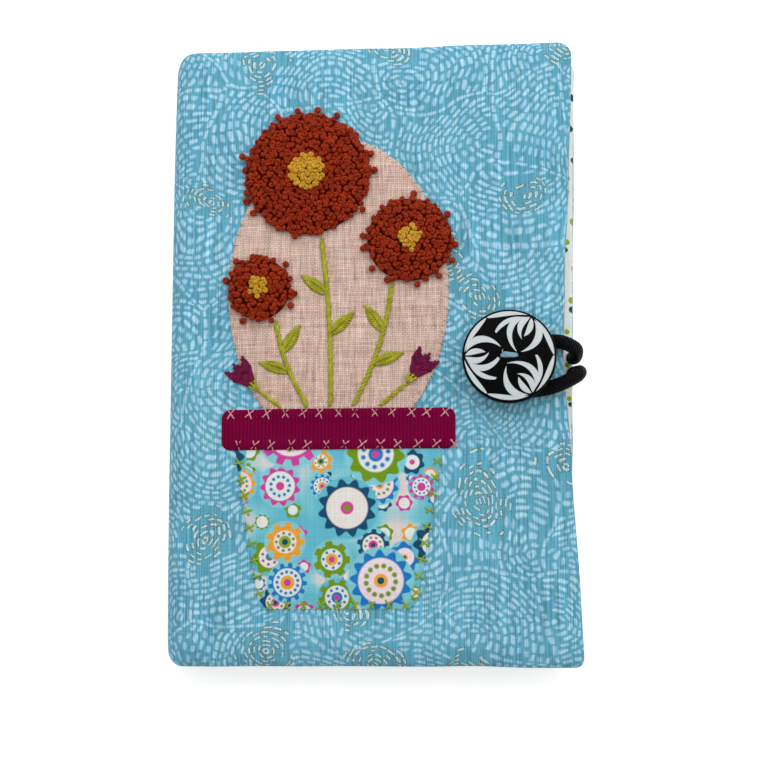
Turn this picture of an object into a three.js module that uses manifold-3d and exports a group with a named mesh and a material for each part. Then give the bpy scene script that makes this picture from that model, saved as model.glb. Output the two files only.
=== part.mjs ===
// Needle book: a padded cloth cover folded round felt leaves, shut with a button and an elastic loop.
// Millimetres, +Z up. The book lies shut on its back cover, spine at -X, head at +Y.
// The origin is on the table, under the middle of the back cover.
import * as THREE from "three";
import { mergeVertices } from "three/addons/utils/BufferGeometryUtils.js";
import manifoldModule from "manifold-3d";

// Whole book
const bookWidth = 110; // spine to fore edge, shut
const bookHeight = 170; // tail to head
const cornerRadius = 4.5; // fore-edge corners of the covers
const spineCorner = 3.2; // head and tail corners of the spine
const edgeRound = 1.4; // soft outer edge of the covers
const foreBow = 3.5; // how far the loop draws in the middle of the front cover's fore edge

// Layers of the cover, from the outside
const clothThickness = 0.5;
const battingThickness = 2.7;
const liningThickness = 0.5;
const layerGap = 0.15; // between cloth, batting and lining
const foldGap = 0.3; // between cover and spine along each fold

// Felt leaves: folded sheets, one inside the other
const sheetCount = 2;
const feltThickness = 1.2;
const feltGap = 0.3; // between leaves, and between leaf and lining
const foldHollow = 0.5; // inner radius of the innermost fold
const foldLeg = 0.6; // straight felt between the outer sheet's fold and its leaves
const leafInset = 7; // felt stops this far short of the head, tail and fore edge
const leafCorner = 5;
const bindingThread = 0.6; // thickness of the thread in the innermost fold
const bindingInset = 12; // the thread stops this far short of the felt's ends

// Button and its thread
const buttonDiameter = 25;
const buttonEdge = 3.2; // thickness at the rim
const buttonCrown = 0.9; // how far the middle stands above the rim
const buttonRound = 0.8;
const buttonFromFore = 17.5; // centre to the back cover's fore edge
const closureDrop = 4; // button and loop below the middle of the book's height
const holeSpacing = 4.2;
const holeDiameter = 2.0;
const holeThread = 1.4; // thread bundle in each hole
const shankDiameter = 3.2;
const threadGap = 0.3; // shank to button and to cover

// Elastic loop
const elasticDiameter = 3.8;
const elasticGap = 0.3; // to the cover and to the button
const loopSpread = 4.4; // between the centres of its two ends
const loopStandOff = 0.7; // how far the upper strand bows out past the fore edge
const loopUpperReach = 4.6; // upper strand above the button's centre
const loopLowerReach = 8.4; // lower strand below it
const loopBack = 5; // how far the loop passes behind the shank

// Applique on the front cover
const patchThickness = 0.6;
const layGap = 0.1; // under patches and embroidery
const butt = 0.3; // between patches side by side
const motifFromSpine = 46.5; // middle of the motif to the spine's outside
const potFromTail = 15;
const potHeight = 42;
const potTopWidth = 56;
const potFootWidth = 42;
const potCorner = 4;
const rimWidth = 63;
const rimHeight = 11;
const rimCorner = 2.5;
const ovalWidth = 60;
const ovalHeight = 86;
const ovalBelowRim = 11; // the oval's foot is hidden this far behind the rim
const ovalLeft = 0; // shift of the oval from the motif's middle

// Flowers: places are from the middle of the rim's top edge
const bloomHeight = 2.6;
const knotDiameter = 2.1;
const largeBloomRadius = 18;
const largeBloomAcross = -8.5;
const largeBloomRise = 65;
const largeHeartRadius = 5.2;
const largeStemRoot = -2; // where the stem leaves the rim
const largeStemLean = 2;
const mediumBloomRadius = 12.5;
const mediumBloomAcross = 19.5;
const mediumBloomRise = 46;
const mediumHeartRadius = 3.8;
const mediumStemRoot = 4;
const mediumStemLean = 4;
const smallBloomRadius = 9.5;
const smallBloomAcross = -21.5;
const smallBloomRise = 33;
const smallHeartRadius = 3;
const smallStemRoot = -8;
const smallStemLean = -3;
const blooms = [
  {
    name: "large",
    radius: largeBloomRadius,
    x: largeBloomAcross,
    y: largeBloomRise,
    heart: largeHeartRadius,
    root: largeStemRoot,
    lean: largeStemLean,
    leaves: [0.42, 0.66],
  },
  {
    name: "medium",
    radius: mediumBloomRadius,
    x: mediumBloomAcross,
    y: mediumBloomRise,
    heart: mediumHeartRadius,
    root: mediumStemRoot,
    lean: mediumStemLean,
    leaves: [0.34, 0.6],
  },
  {
    name: "small",
    radius: smallBloomRadius,
    x: smallBloomAcross,
    y: smallBloomRise,
    heart: smallHeartRadius,
    root: smallStemRoot,
    lean: smallStemLean,
    leaves: [0.62, 0.4],
  },
];
const heartHeight = 1.2; // yellow middle above the bloom
const stemWidth = 1.5;
const stemHeight = 0.8;
const leafWidth = 3.4;
const leafLength = 9;
const leftBudAcross = -22;
const leftBudRise = 5.5;
const leftBudRoot = -15;
const rightBudAcross = 19;
const rightBudRise = 7;
const rightBudRoot = 11;
const buds = [
  { name: "left", x: leftBudAcross, y: leftBudRise, root: leftBudRoot, turn: 0.75 },
  { name: "right", x: rightBudAcross, y: rightBudRise, root: rightBudRoot, turn: -0.65 },
];
const budLength = 9;
const budWidth = 6;
const budHeight = 1.5;

// Sizes that follow
const coverThickness = clothThickness + battingThickness + liningThickness + 2 * layerGap;
const feltPitch = feltThickness + feltGap;
const spineRadius = coverThickness + sheetCount * feltPitch + foldHollow;
const faceZ = 2 * spineRadius; // outside of the front cover
const spineX = -bookWidth / 2;
const foreX = bookWidth / 2;
const arcX = spineX + spineRadius; // where the flat covers pass into the rounded spine
const innerRadius = spineRadius - coverThickness;
const buttonX = foreX - buttonFromFore;
const strandZ = faceZ + elasticGap + elasticDiameter / 2;
const buttonFoot = strandZ + elasticDiameter / 2 + elasticGap;
const buttonTop = buttonFoot + buttonEdge + buttonCrown;
const motifX = spineX + motifFromSpine;
const potFootY = -bookHeight / 2 + potFromTail;
const rimFootY = potFootY + potHeight + butt;
const rimTopY = rimFootY + rimHeight;
const patchTop = faceZ + layGap + patchThickness;
const stitchZ = patchTop + layGap;

const wasm = await manifoldModule();
wasm.setup();

// A solid for joining and cutting
function solid(geometry) {
  const bare = new THREE.BufferGeometry();
  bare.setAttribute("position", geometry.getAttribute("position").clone());
  if (geometry.index) bare.setIndex(geometry.index.clone());
  const welded = mergeVertices(bare, 1e-4);
  const mesh = new wasm.Mesh({
    numProp: 3,
    vertProperties: new Float32Array(welded.getAttribute("position").array),
    triVerts: new Uint32Array(welded.index.array),
  });
  return new wasm.Manifold(mesh);
}

function geometryOf(body) {
  const mesh = body.getMesh();
  const geometry = new THREE.BufferGeometry();
  geometry.setAttribute("position", new THREE.BufferAttribute(mesh.vertProperties, 3));
  geometry.setIndex(new THREE.BufferAttribute(mesh.triVerts, 1));
  return geometry;
}

// A section drawn in X and Z, carried along Y about y = 0
function alongY(section, length, segments) {
  const settings = { depth: length, bevelEnabled: false, curveSegments: segments };
  const geometry = new THREE.ExtrudeGeometry(section, settings);
  return geometry.rotateX(Math.PI / 2).translate(0, length / 2, 0);
}

function upright(outline, foot, height, segments) {
  const settings = { depth: height, bevelEnabled: false, curveSegments: segments };
  return new THREE.ExtrudeGeometry(outline, settings).translate(0, 0, foot);
}

function turned(profile, segments) {
  const points = profile.map(([radius, z]) => new THREE.Vector2(radius, z));
  return new THREE.LatheGeometry(points, segments).rotateX(Math.PI / 2);
}

function cylinder(diameter, foot, top, segments) {
  const geometry = new THREE.CylinderGeometry(diameter / 2, diameter / 2, top - foot, segments);
  return geometry.rotateX(Math.PI / 2).translate(0, 0, (foot + top) / 2);
}

function roundedOutline(left, right, bottom, top, radius) {
  const outline = new THREE.Shape();
  outline.moveTo(left + radius, bottom);
  outline.lineTo(right - radius, bottom);
  outline.absarc(right - radius, bottom + radius, radius, -Math.PI / 2, 0, false);
  outline.lineTo(right, top - radius);
  outline.absarc(right - radius, top - radius, radius, 0, Math.PI / 2, false);
  outline.lineTo(left + radius, top);
  outline.absarc(left + radius, top - radius, radius, Math.PI / 2, Math.PI, false);
  outline.lineTo(left, bottom + radius);
  outline.absarc(left + radius, bottom + radius, radius, Math.PI, 1.5 * Math.PI, false);
  return outline;
}

// Ring sector about the spine's centre line; angles run from straight down towards the spine side
function spineSector(depthFrom, depthTo, angleFrom, angleTo) {
  const down = -Math.PI / 2;
  const section = new THREE.Shape();
  section.absarc(arcX, spineRadius, spineRadius - depthFrom, down - angleFrom, down - angleTo, true);
  section.absarc(arcX, spineRadius, spineRadius - depthTo, down - angleTo, down - angleFrom, false);
  section.closePath();
  return section;
}

// Outline of the shut book: rounded corners, and a fore edge drawn in by the bow
function coverOutline(inset, bow) {
  const left = spineX + inset;
  const right = foreX - inset;
  const half = bookHeight / 2 - inset;
  const radius = cornerRadius - inset;
  const small = spineCorner - inset;
  const outline = new THREE.Shape();
  outline.moveTo(left + small, -half);
  outline.lineTo(right - radius, -half);
  outline.absarc(right - radius, radius - half, radius, -Math.PI / 2, 0, false);
  outline.quadraticCurveTo(right - 2 * bow, 0, right, half - radius);
  outline.absarc(right - radius, half - radius, radius, 0, Math.PI / 2, false);
  outline.lineTo(left + small, half);
  outline.absarc(left + small, half - small, small, Math.PI / 2, Math.PI, false);
  outline.lineTo(left, small - half);
  outline.absarc(left + small, small - half, small, Math.PI, 1.5 * Math.PI, false);
  return outline;
}

// One layer of a cover, as it lies in the back cover: flat, with a lip that starts round the spine
function coverLayer(depthFrom, depthTo, inset, lipEnd, bow) {
  const down = -Math.PI / 2;
  const section = new THREE.Shape();
  section.moveTo(foreX + 1, depthFrom);
  section.lineTo(arcX, depthFrom);
  section.absarc(arcX, spineRadius, spineRadius - depthFrom, down, down - lipEnd, true);
  section.absarc(arcX, spineRadius, spineRadius - depthTo, down - lipEnd, down, false);
  section.lineTo(foreX + 1, depthTo);
  section.closePath();
  const round = Math.max(edgeRound - depthFrom, 0.2);
  const block = new THREE.ExtrudeGeometry(coverOutline(inset, bow), {
    depth: faceZ,
    bevelThickness: round,
    bevelSize: round,
    bevelOffset: -round,
    bevelSegments: 3,
    curveSegments: 6,
  });
  block.translate(0, 0, depthFrom + round);
  return solid(alongY(section, bookHeight + 2, 5)).intersect(solid(block));
}

const lipAngle = Math.PI / 4;
const halfFold = foldGap / 2 / innerRadius;
const clothInset = clothThickness + layerGap;
const liningFrom = coverThickness - liningThickness;

// Cloth, batting and lining of one cover
function coverPieces(bow) {
  const lipEnd = lipAngle - halfFold;
  const blank = coverLayer(0, coverThickness, 0, lipEnd, bow);
  const hollow = coverLayer(clothThickness, coverThickness + 1, clothThickness, lipAngle + 0.2, bow);
  return {
    outer_cloth: blank.subtract(hollow),
    batting: coverLayer(clothInset, liningFrom - layerGap, clothInset, lipEnd, bow),
    lining: coverLayer(liningFrom, coverThickness, clothInset, lipEnd, bow),
  };
}

// Cloth, batting and lining of the spine between the two folds
function spinePieces() {
  const from = lipAngle + halfFold;
  const to = Math.PI - from;
  const layer = (depthFrom, depthTo, inset, extra) => {
    const sector = spineSector(depthFrom, depthTo, from - extra, to + extra);
    const block = upright(coverOutline(inset, 0), 0, faceZ, 6);
    return solid(alongY(sector, bookHeight + 2, 8)).intersect(solid(block));
  };
  const hollow = layer(clothThickness, coverThickness + 1, clothThickness, 0.2);
  return {
    outer_cloth: layer(0, coverThickness, 0, 0).subtract(hollow),
    batting: layer(clothInset, liningFrom - layerGap, clothInset, 0),
    lining: layer(liningFrom, coverThickness, clothInset, 0),
  };
}

// Folded sheets of felt: sheet 0 is the outer one
const leafHalf = bookHeight / 2 - leafInset;
const leafFore = foreX - leafInset;
function sheetOuter(sheet) {
  return innerRadius - feltGap - sheet * feltPitch;
}

function leafHinge(sheet) {
  return arcX + foldLeg + feltGap + sheet * feltPitch;
}

function feltFold(sheet) {
  const outer = sheetOuter(sheet);
  const inner = outer - feltThickness;
  const right = leafHinge(sheet) - feltGap;
  const section = new THREE.Shape();
  section.moveTo(right, spineRadius - outer);
  section.lineTo(arcX, spineRadius - outer);
  section.absarc(arcX, spineRadius, outer, -Math.PI / 2, -1.5 * Math.PI, true);
  section.lineTo(right, spineRadius + outer);
  section.lineTo(right, spineRadius + inner);
  section.absarc(arcX, spineRadius, inner, -1.5 * Math.PI, -Math.PI / 2, false);
  section.lineTo(right, spineRadius - inner);
  section.closePath();
  return alongY(section, 2 * leafHalf, 10);
}

function feltLeaf(sheet, side) {
  const hinge = leafHinge(sheet);
  const outline = new THREE.Shape();
  outline.moveTo(hinge, -leafHalf);
  outline.lineTo(leafFore - leafCorner, -leafHalf);
  outline.absarc(leafFore - leafCorner, leafCorner - leafHalf, leafCorner, -Math.PI / 2, 0, false);
  outline.lineTo(leafFore, leafHalf - leafCorner);
  outline.absarc(leafFore - leafCorner, leafHalf - leafCorner, leafCorner, 0, Math.PI / 2, false);
  outline.lineTo(hinge, leafHalf);
  outline.closePath();
  const outer = sheetOuter(sheet);
  const foot = side < 0 ? spineRadius - outer : spineRadius + outer - feltThickness;
  return upright(outline, foot, feltThickness, 6);
}

// Button
function buttonDisc() {
  const radius = buttonDiameter / 2;
  const shoulder = buttonFoot + buttonEdge;
  const profile = [
    [0, buttonFoot],
    [radius - buttonRound, buttonFoot],
    [radius, buttonFoot + buttonRound],
    [radius, shoulder - buttonRound],
    [radius - 0.3 * buttonRound, shoulder - 0.3 * buttonRound],
    [radius - buttonRound, shoulder],
    [radius * 0.7, shoulder + buttonCrown * 0.55],
    [radius * 0.35, shoulder + buttonCrown * 0.9],
    [0, buttonTop],
  ];
  let disc = solid(turned(profile, 32));
  for (const side of [-1, 1]) {
    const hole = cylinder(holeDiameter, buttonFoot - 1, buttonTop + 1, 16);
    disc = disc.subtract(solid(hole.translate((side * holeSpacing) / 2, 0, 0)));
  }
  return geometryOf(disc).translate(buttonX, -closureDrop, 0);
}

// Thread through both holes, with the stretch across the top
function buttonThread() {
  const bar = buttonTop + threadGap;
  const half = holeSpacing / 2 + holeThread / 2;
  const strap = roundedOutline(-half, half, -holeThread / 2, holeThread / 2, holeThread * 0.49);
  let thread = solid(upright(strap, bar, holeThread * 0.6, 4));
  for (const side of [-1, 1]) {
    const leg = cylinder(holeThread, buttonFoot, bar + holeThread * 0.3, 12);
    thread = thread.add(solid(leg.translate((side * holeSpacing) / 2, 0, 0)));
  }
  return geometryOf(thread).translate(buttonX, -closureDrop, 0);
}

function buttonShank() {
  const geometry = cylinder(shankDiameter, faceZ + layGap, buttonFoot - threadGap, 16);
  return geometry.translate(buttonX, -closureDrop, 0);
}

// Elastic loop, from one end in the back cover's seam over the fore edge, round the shank and back
function elasticLoop() {
  const radius = elasticDiameter / 2;
  const seamX = foreX + elasticGap / 2;
  const seamZ = coverThickness + elasticGap;
  const out = foreX + loopStandOff;
  const edge = foreX - foreBow + elasticGap + radius;
  const rise = faceZ - coverThickness;
  const half = loopSpread / 2;
  const points = [
    [seamX, half, seamZ],
    [seamX + 0.35, half, seamZ + 0.8],
    [out, half + 0.2, seamZ + 4],
    [edge + 1.6, half + 1, rise + 2.4],
    [edge - 1.6, loopUpperReach - 0.4, strandZ - 0.1],
    [buttonX + 11.5, loopUpperReach, strandZ],
    [buttonX + 4, loopUpperReach + 0.3, strandZ],
    [buttonX - loopBack * 0.75, loopUpperReach * 0.7, strandZ],
    [buttonX - loopBack, -1.2, strandZ],
    [buttonX - loopBack * 0.5, -loopLowerReach * 0.62, strandZ],
    [buttonX + 3.6, -loopLowerReach, strandZ],
    [buttonX + 9.4, -loopLowerReach + 0.2, strandZ],
    [edge - 2.2, 1.6 - loopLowerReach, strandZ],
    [edge + 1.6, -half - 2.4, strandZ - 1.9],
    [out + 0.7, -half - 1, rise + 1.6],
    [out + 0.7, -half - 0.2, seamZ + 3.4],
    [seamX + 0.35, -half, seamZ + 0.8],
    [seamX, -half, seamZ],
  ];
  const route = new THREE.CatmullRomCurve3(points.map((point) => new THREE.Vector3(...point)));
  const section = new THREE.Shape();
  section.absarc(0, 0, radius, 0, 2 * Math.PI, false);
  const tube = new THREE.ExtrudeGeometry(section, { extrudePath: route, steps: 56, curveSegments: 5 });
  return tube.translate(0, -closureDrop, 0);
}

// Patches
function ovalPatch() {
  const middle = rimTopY - ovalBelowRim + ovalHeight / 2;
  const cut = rimTopY + butt;
  const start = Math.asin((cut - middle) / (ovalHeight / 2));
  const outline = new THREE.Shape();
  outline.absellipse(motifX + ovalLeft, middle, ovalWidth / 2, ovalHeight / 2, start, Math.PI - start);
  outline.closePath();
  return upright(outline, faceZ + layGap, patchThickness, 40);
}

function potPatch() {
  const top = rimFootY - butt;
  const outline = new THREE.Shape();
  outline.moveTo(motifX - potFootWidth / 2 + potCorner, potFootY);
  outline.lineTo(motifX + potFootWidth / 2 - potCorner, potFootY);
  const side = potCorner / potHeight;
  const flare = ((potTopWidth - potFootWidth) / 2) * side;
  outline.quadraticCurveTo(
    motifX + potFootWidth / 2,
    potFootY,
    motifX + potFootWidth / 2 + flare,
    potFootY + potCorner,
  );
  outline.lineTo(motifX + potTopWidth / 2, top);
  outline.lineTo(motifX - potTopWidth / 2, top);
  outline.lineTo(motifX - potFootWidth / 2 - flare, potFootY + potCorner);
  outline.quadraticCurveTo(
    motifX - potFootWidth / 2,
    potFootY,
    motifX - potFootWidth / 2 + potCorner,
    potFootY,
  );
  return upright(outline, faceZ + layGap, patchThickness, 5);
}

function rimPatch() {
  const left = motifX - rimWidth / 2;
  const outline = roundedOutline(left, left + rimWidth, rimFootY, rimTopY, rimCorner);
  return upright(outline, faceZ + layGap, patchThickness, 5);
}

// Bloom of French knots: a low dome with a ring of knots round it and a flat middle for its heart
function bloomDome(bloom) {
  const dome = bloom.radius - knotDiameter / 2;
  const profile = [
    [0, 0],
    [dome, 0],
    [dome, bloomHeight * 0.45],
    [dome * 0.9, bloomHeight * 0.75],
    [dome * 0.66, bloomHeight * 0.95],
    [bloom.heart + 0.5, bloomHeight],
    [0, bloomHeight],
  ];
  let body = solid(turned(profile, 24));
  const count = Math.floor((2 * Math.PI * dome) / (knotDiameter * 1.08));
  for (let index = 0; index < count; index += 1) {
    const angle = (2 * Math.PI * index) / count;
    const knot = new THREE.OctahedronGeometry(knotDiameter / 2, 0);
    knot.rotateZ(angle + Math.PI / 4);
    knot.translate(dome * Math.cos(angle), dome * Math.sin(angle), knotDiameter / 2);
    body = body.add(solid(knot));
  }
  return geometryOf(body).translate(motifX + bloom.x, rimTopY + bloom.y, stitchZ);
}

function bloomHeart(bloom) {
  const foot = bloomHeight + layGap;
  const profile = [
    [0, foot],
    [bloom.heart, foot],
    [bloom.heart, foot + heartHeight * 0.5],
    [bloom.heart * 0.7, foot + heartHeight * 0.9],
    [0, foot + heartHeight],
  ];
  return turned(profile, 20).translate(motifX + bloom.x, rimTopY + bloom.y, stitchZ);
}

// Leaf of stitches: pointed at both ends
function leafShape(length, width) {
  const outline = new THREE.Shape();
  outline.moveTo(0, 0);
  outline.quadraticCurveTo(length * 0.5, width, length, 0);
  outline.quadraticCurveTo(length * 0.5, -width, 0, 0);
  return outline;
}

function stemBand(route, width, steps) {
  const left = [];
  const right = [];
  for (let index = 0; index <= steps; index += 1) {
    const at = route.getPoint(index / steps);
    const along = route.getTangent(index / steps);
    const side = new THREE.Vector2(-along.y, along.x).multiplyScalar(width / 2);
    left.push(at.clone().add(side));
    right.unshift(at.clone().sub(side));
  }
  return new THREE.Shape([...left, ...right]);
}

function stemRoute(root, tipX, tipY, lean) {
  const from = new THREE.Vector2(motifX + root, rimTopY + butt);
  const to = new THREE.Vector2(motifX + tipX, rimTopY + tipY);
  const bend = new THREE.Vector2((from.x + to.x) / 2 + lean, (from.y + to.y) / 2);
  return new THREE.QuadraticBezierCurve(from, bend, to);
}

// Stem of a bloom with its pair of leaves, one body of close stitches
function bloomSprig(bloom) {
  const middle = new THREE.Vector2(bloom.x, bloom.y);
  const foot = new THREE.Vector2(bloom.root + bloom.lean, bloom.y * 0.4);
  const reach = bloom.radius + butt + 0.2;
  const tip = middle.clone().sub(middle.clone().sub(foot).setLength(reach));
  const route = stemRoute(bloom.root, tip.x, tip.y, bloom.lean);
  let sprig = solid(upright(stemBand(route, stemWidth, 10), stitchZ, stemHeight, 4));
  for (const side of [-1, 1]) {
    const place = bloom.leaves[side < 0 ? 0 : 1];
    const at = route.getPoint(place);
    const along = route.getTangent(place);
    const angle = Math.atan2(along.y, along.x) + side * 0.85;
    const leaf = upright(leafShape(leafLength, leafWidth), stitchZ, stemHeight * 0.9, 5);
    leaf.rotateZ(angle).translate(at.x, at.y, 0);
    sprig = sprig.add(solid(leaf));
  }
  return geometryOf(sprig);
}

// Bud of satin stitches on its own thin stem
function budStem(bud) {
  const route = stemRoute(bud.root, bud.x, bud.y, 0);
  return upright(stemBand(route, stemWidth * 0.8, 6), stitchZ, stemHeight, 4);
}

function budHead(bud) {
  const outline = new THREE.Shape();
  outline.moveTo(0, 0);
  outline.quadraticCurveTo(budWidth * 0.62, budLength * 0.18, budWidth * 0.5, budLength);
  outline.lineTo(budWidth * 0.22, budLength * 0.72);
  outline.lineTo(0, budLength * 1.08);
  outline.lineTo(-budWidth * 0.22, budLength * 0.72);
  outline.lineTo(-budWidth * 0.5, budLength);
  outline.quadraticCurveTo(-budWidth * 0.62, budLength * 0.18, 0, 0);
  const head = upright(outline, stitchZ, budHeight, 6);
  head.translate(0, butt + 0.4, 0).rotateZ(bud.turn);
  return head.translate(motifX + bud.x, rimTopY + bud.y, 0);
}

// Materials
const turquoiseCotton = new THREE.MeshStandardMaterial({ color: 0x7abad0, roughness: 0.9 });
const whiteBatting = new THREE.MeshStandardMaterial({ color: 0xf1efe8, roughness: 1 });
const printedLining = new THREE.MeshStandardMaterial({ color: 0xe9ece2, roughness: 0.9 });
const creamFelt = new THREE.MeshStandardMaterial({ color: 0xe8e0cf, roughness: 1 });
const naturalLinen = new THREE.MeshStandardMaterial({ color: 0xc9aa9a, roughness: 0.95 });
const printedCotton = new THREE.MeshStandardMaterial({ color: 0x8fc3c4, roughness: 0.9 });
const wineCorduroy = new THREE.MeshStandardMaterial({ color: 0x6f0631, roughness: 0.95 });
const rustThread = new THREE.MeshStandardMaterial({ color: 0x6b1d10, roughness: 0.8 });
const yellowThread = new THREE.MeshStandardMaterial({ color: 0xdca01e, roughness: 0.8 });
const greenThread = new THREE.MeshStandardMaterial({ color: 0x8fae35, roughness: 0.8 });
const wineThread = new THREE.MeshStandardMaterial({ color: 0x641038, roughness: 0.8 });
const blueThread = new THREE.MeshStandardMaterial({ color: 0x5f97b8, roughness: 0.8 });
const creamThread = new THREE.MeshStandardMaterial({ color: 0xd9cdb4, roughness: 0.85 });
const darkHorn = new THREE.MeshStandardMaterial({ color: 0x1a1512, roughness: 0.35 });
const blackElastic = new THREE.MeshStandardMaterial({ color: 0x14141a, roughness: 0.85 });

const layerMaterials = { outer_cloth: turquoiseCotton, batting: whiteBatting, lining: printedLining };

const book = new THREE.Group();
book.name = "needle_book";

function addPiece(group, name, geometry, material) {
  const mesh = new THREE.Mesh(geometry, material);
  mesh.name = name;
  group.add(mesh);
}

function addLayers(group, prefix, pieces) {
  for (const [layer, body] of Object.entries(pieces)) {
    addPiece(group, `${prefix}_${layer}`, geometryOf(body), layerMaterials[layer]);
  }
}

// Covers: the front one is the back one turned over, with its fore edge drawn in
addLayers(book, "back", coverPieces(0));
addLayers(book, "spine", spinePieces());
const frontSide = new THREE.Group();
frontSide.scale.z = -1;
frontSide.position.z = faceZ;
addLayers(frontSide, "front", coverPieces(foreBow));
book.add(frontSide);

// Felt, from the back cover to the front one
const sheetNames = ["outer", "inner"];
for (let sheet = 0; sheet < sheetCount; sheet += 1) {
  addPiece(book, `felt_fold_${sheetNames[sheet]}`, feltFold(sheet), creamFelt);
  addPiece(book, `felt_leaf_${sheet + 1}`, feltLeaf(sheet, -1), creamFelt);
  addPiece(book, `felt_leaf_${2 * sheetCount - sheet}`, feltLeaf(sheet, 1), creamFelt);
}
const threadLength = 2 * (leafHalf - bindingInset);
const threadRound = new THREE.Shape();
threadRound.absarc(arcX, spineRadius, bindingThread / 2, 0, 2 * Math.PI, false);
addPiece(book, "binding_thread", alongY(threadRound, threadLength, 8), creamThread);

// Applique and embroidery
addPiece(book, "linen_oval", ovalPatch(), naturalLinen);
addPiece(book, "pot_patch", potPatch(), printedCotton);
addPiece(book, "pot_rim", rimPatch(), wineCorduroy);
for (const bloom of blooms) {
  addPiece(book, `bloom_${bloom.name}`, bloomDome(bloom), rustThread);
  addPiece(book, `bloom_heart_${bloom.name}`, bloomHeart(bloom), yellowThread);
  addPiece(book, `sprig_${bloom.name}`, bloomSprig(bloom), greenThread);
}
for (const bud of buds) {
  addPiece(book, `bud_stem_${bud.name}`, budStem(bud), greenThread);
  addPiece(book, `bud_${bud.name}`, budHead(bud), wineThread);
}

// Closure
addPiece(book, "button_shank", buttonShank(), blueThread);
addPiece(book, "button", buttonDisc(), darkHorn);
addPiece(book, "button_thread", buttonThread(), blueThread);
addPiece(book, "elastic_loop", elasticLoop(), blackElastic);

export default book;
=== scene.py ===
import bpy
import bmesh
import math
import random
from mathutils import Matrix, Vector, noise
from mathutils.bvhtree import BVHTree


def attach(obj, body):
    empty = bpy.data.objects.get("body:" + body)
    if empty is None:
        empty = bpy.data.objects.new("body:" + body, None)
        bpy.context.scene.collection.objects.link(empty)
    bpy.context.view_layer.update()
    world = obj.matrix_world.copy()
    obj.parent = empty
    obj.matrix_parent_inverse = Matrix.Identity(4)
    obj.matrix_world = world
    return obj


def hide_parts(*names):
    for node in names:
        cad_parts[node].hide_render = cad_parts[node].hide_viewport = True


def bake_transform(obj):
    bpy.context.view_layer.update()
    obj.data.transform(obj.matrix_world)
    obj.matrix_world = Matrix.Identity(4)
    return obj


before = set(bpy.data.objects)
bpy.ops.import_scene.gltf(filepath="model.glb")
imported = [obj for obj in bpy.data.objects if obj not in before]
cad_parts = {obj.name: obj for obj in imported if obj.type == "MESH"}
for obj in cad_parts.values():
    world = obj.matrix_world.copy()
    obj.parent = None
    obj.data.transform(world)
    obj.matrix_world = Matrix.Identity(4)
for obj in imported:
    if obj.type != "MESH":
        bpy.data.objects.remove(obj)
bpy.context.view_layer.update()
scene = bpy.context.scene
print("frame loaded:", len(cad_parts), "nodes")

# Lengths in the dictionaries are millimetres, colours are sRGB 0 to 255
mm = 0.001          # metres in one
weld = 0.001        # points closer than this are one
book = {
    "width": 110.0,
    "height": 170.0,
    "spineRadius": 7.5,
    "corner": 4.5,
    "tailCorner": 2.6,
    "spineCorner": 3.2,
    "spineDip": 0.35,   # eases the corner where it meets the seam down the spine
    "bow": 4.0,         # the loop draws in the front fore edge
    "bowPower": 1.15,   # how sharply, and how far its head side is eased by the button
    "bowEase": 0.12,
    "flare": 1.2,       # the fore corners stand out, front and back
    "backFlare": 0.2,
    "slant": 2.1,       # the back fore edge leans out towards the head
    "fan": 0.6,         # the front is this much taller at each fore corner
}
motifX = -8.5
rimTop = -16.7
rimFoot = -27.7
tuck = 3.0              # linen and print reach this far under the rim
oval = {"x": motifX, "y": 15.3, "halfWide": 30.0, "halfTall": 43.0, "foot": rimTop - tuck}
pot = {"foot": -70.0, "top": rimFoot + tuck, "footHalf": 21.0, "topHalf": 28.0, "corner": 4.0}
potSlope = (pot["topHalf"] - pot["footHalf"]) / 42.0        # how much the sides widen upwards
rim = {"half": 31.5, "corner": 2.5, "thickness": 0.6, "wale": 0.1, "pitch": 1.0}
foreX = book["width"] / 2
arcX = book["spineRadius"] - foreX      # flat covers turn into the round spine here
faceZ = 2 * book["spineRadius"]
arcLength = book["spineRadius"] * math.pi / 2


def meshFrom(bm, name):
    mesh = bpy.data.meshes.new(name)
    bm.to_mesh(mesh)
    bm.free()
    return mesh


def finishPiece(bm, name, material, body=None, stands=(), sharp=None):
    bmesh.ops.scale(bm, vec=(mm, mm, mm), verts=bm.verts)
    mesh = meshFrom(bm, name)
    mesh.materials.append(material)
    mesh.shade_smooth()
    if sharp:
        mesh.set_sharp_from_angle(angle=math.radians(sharp))
    piece = bpy.data.objects.new(name, mesh)
    scene.collection.objects.link(piece)
    if body:
        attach(piece, body)
    if stands:
        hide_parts(*stands)
    return piece


def settleModifiers(piece):
    depsgraph = bpy.context.evaluated_depsgraph_get()
    settled = bpy.data.meshes.new_from_object(piece.evaluated_get(depsgraph))
    old = piece.data
    piece.modifiers.clear()
    piece.data = settled
    bpy.data.meshes.remove(old)


def routeFrames(points):
    frames = []
    side = None
    for index, point in enumerate(points):
        ahead = points[min(index + 1, len(points) - 1)] - points[max(index - 1, 0)]
        ahead.normalize()
        if side is None:
            side = ahead.orthogonal()
        side = (side - ahead * side.dot(ahead)).normalized()
        turn = Matrix((side, ahead.cross(side), ahead)).transposed().to_4x4()
        frames.append(Matrix.Translation(point) @ turn)
    return frames


def faceOut(bm):
    bmesh.ops.recalc_face_normals(bm, faces=bm.faces)


def ringEdges(verts):
    return list({edge for vert in verts for edge in vert.link_edges})


def partsOf(geom, kind):
    return [item for item in geom if isinstance(item, kind)]


def extrudeRing(bm, edges):
    grown = bmesh.ops.extrude_edge_only(bm, edges=edges)["geom"]
    return partsOf(grown, bmesh.types.BMVert), partsOf(grown, bmesh.types.BMEdge)


def smoothStep(share):
    return share * share * (3 - 2 * share)


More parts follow.
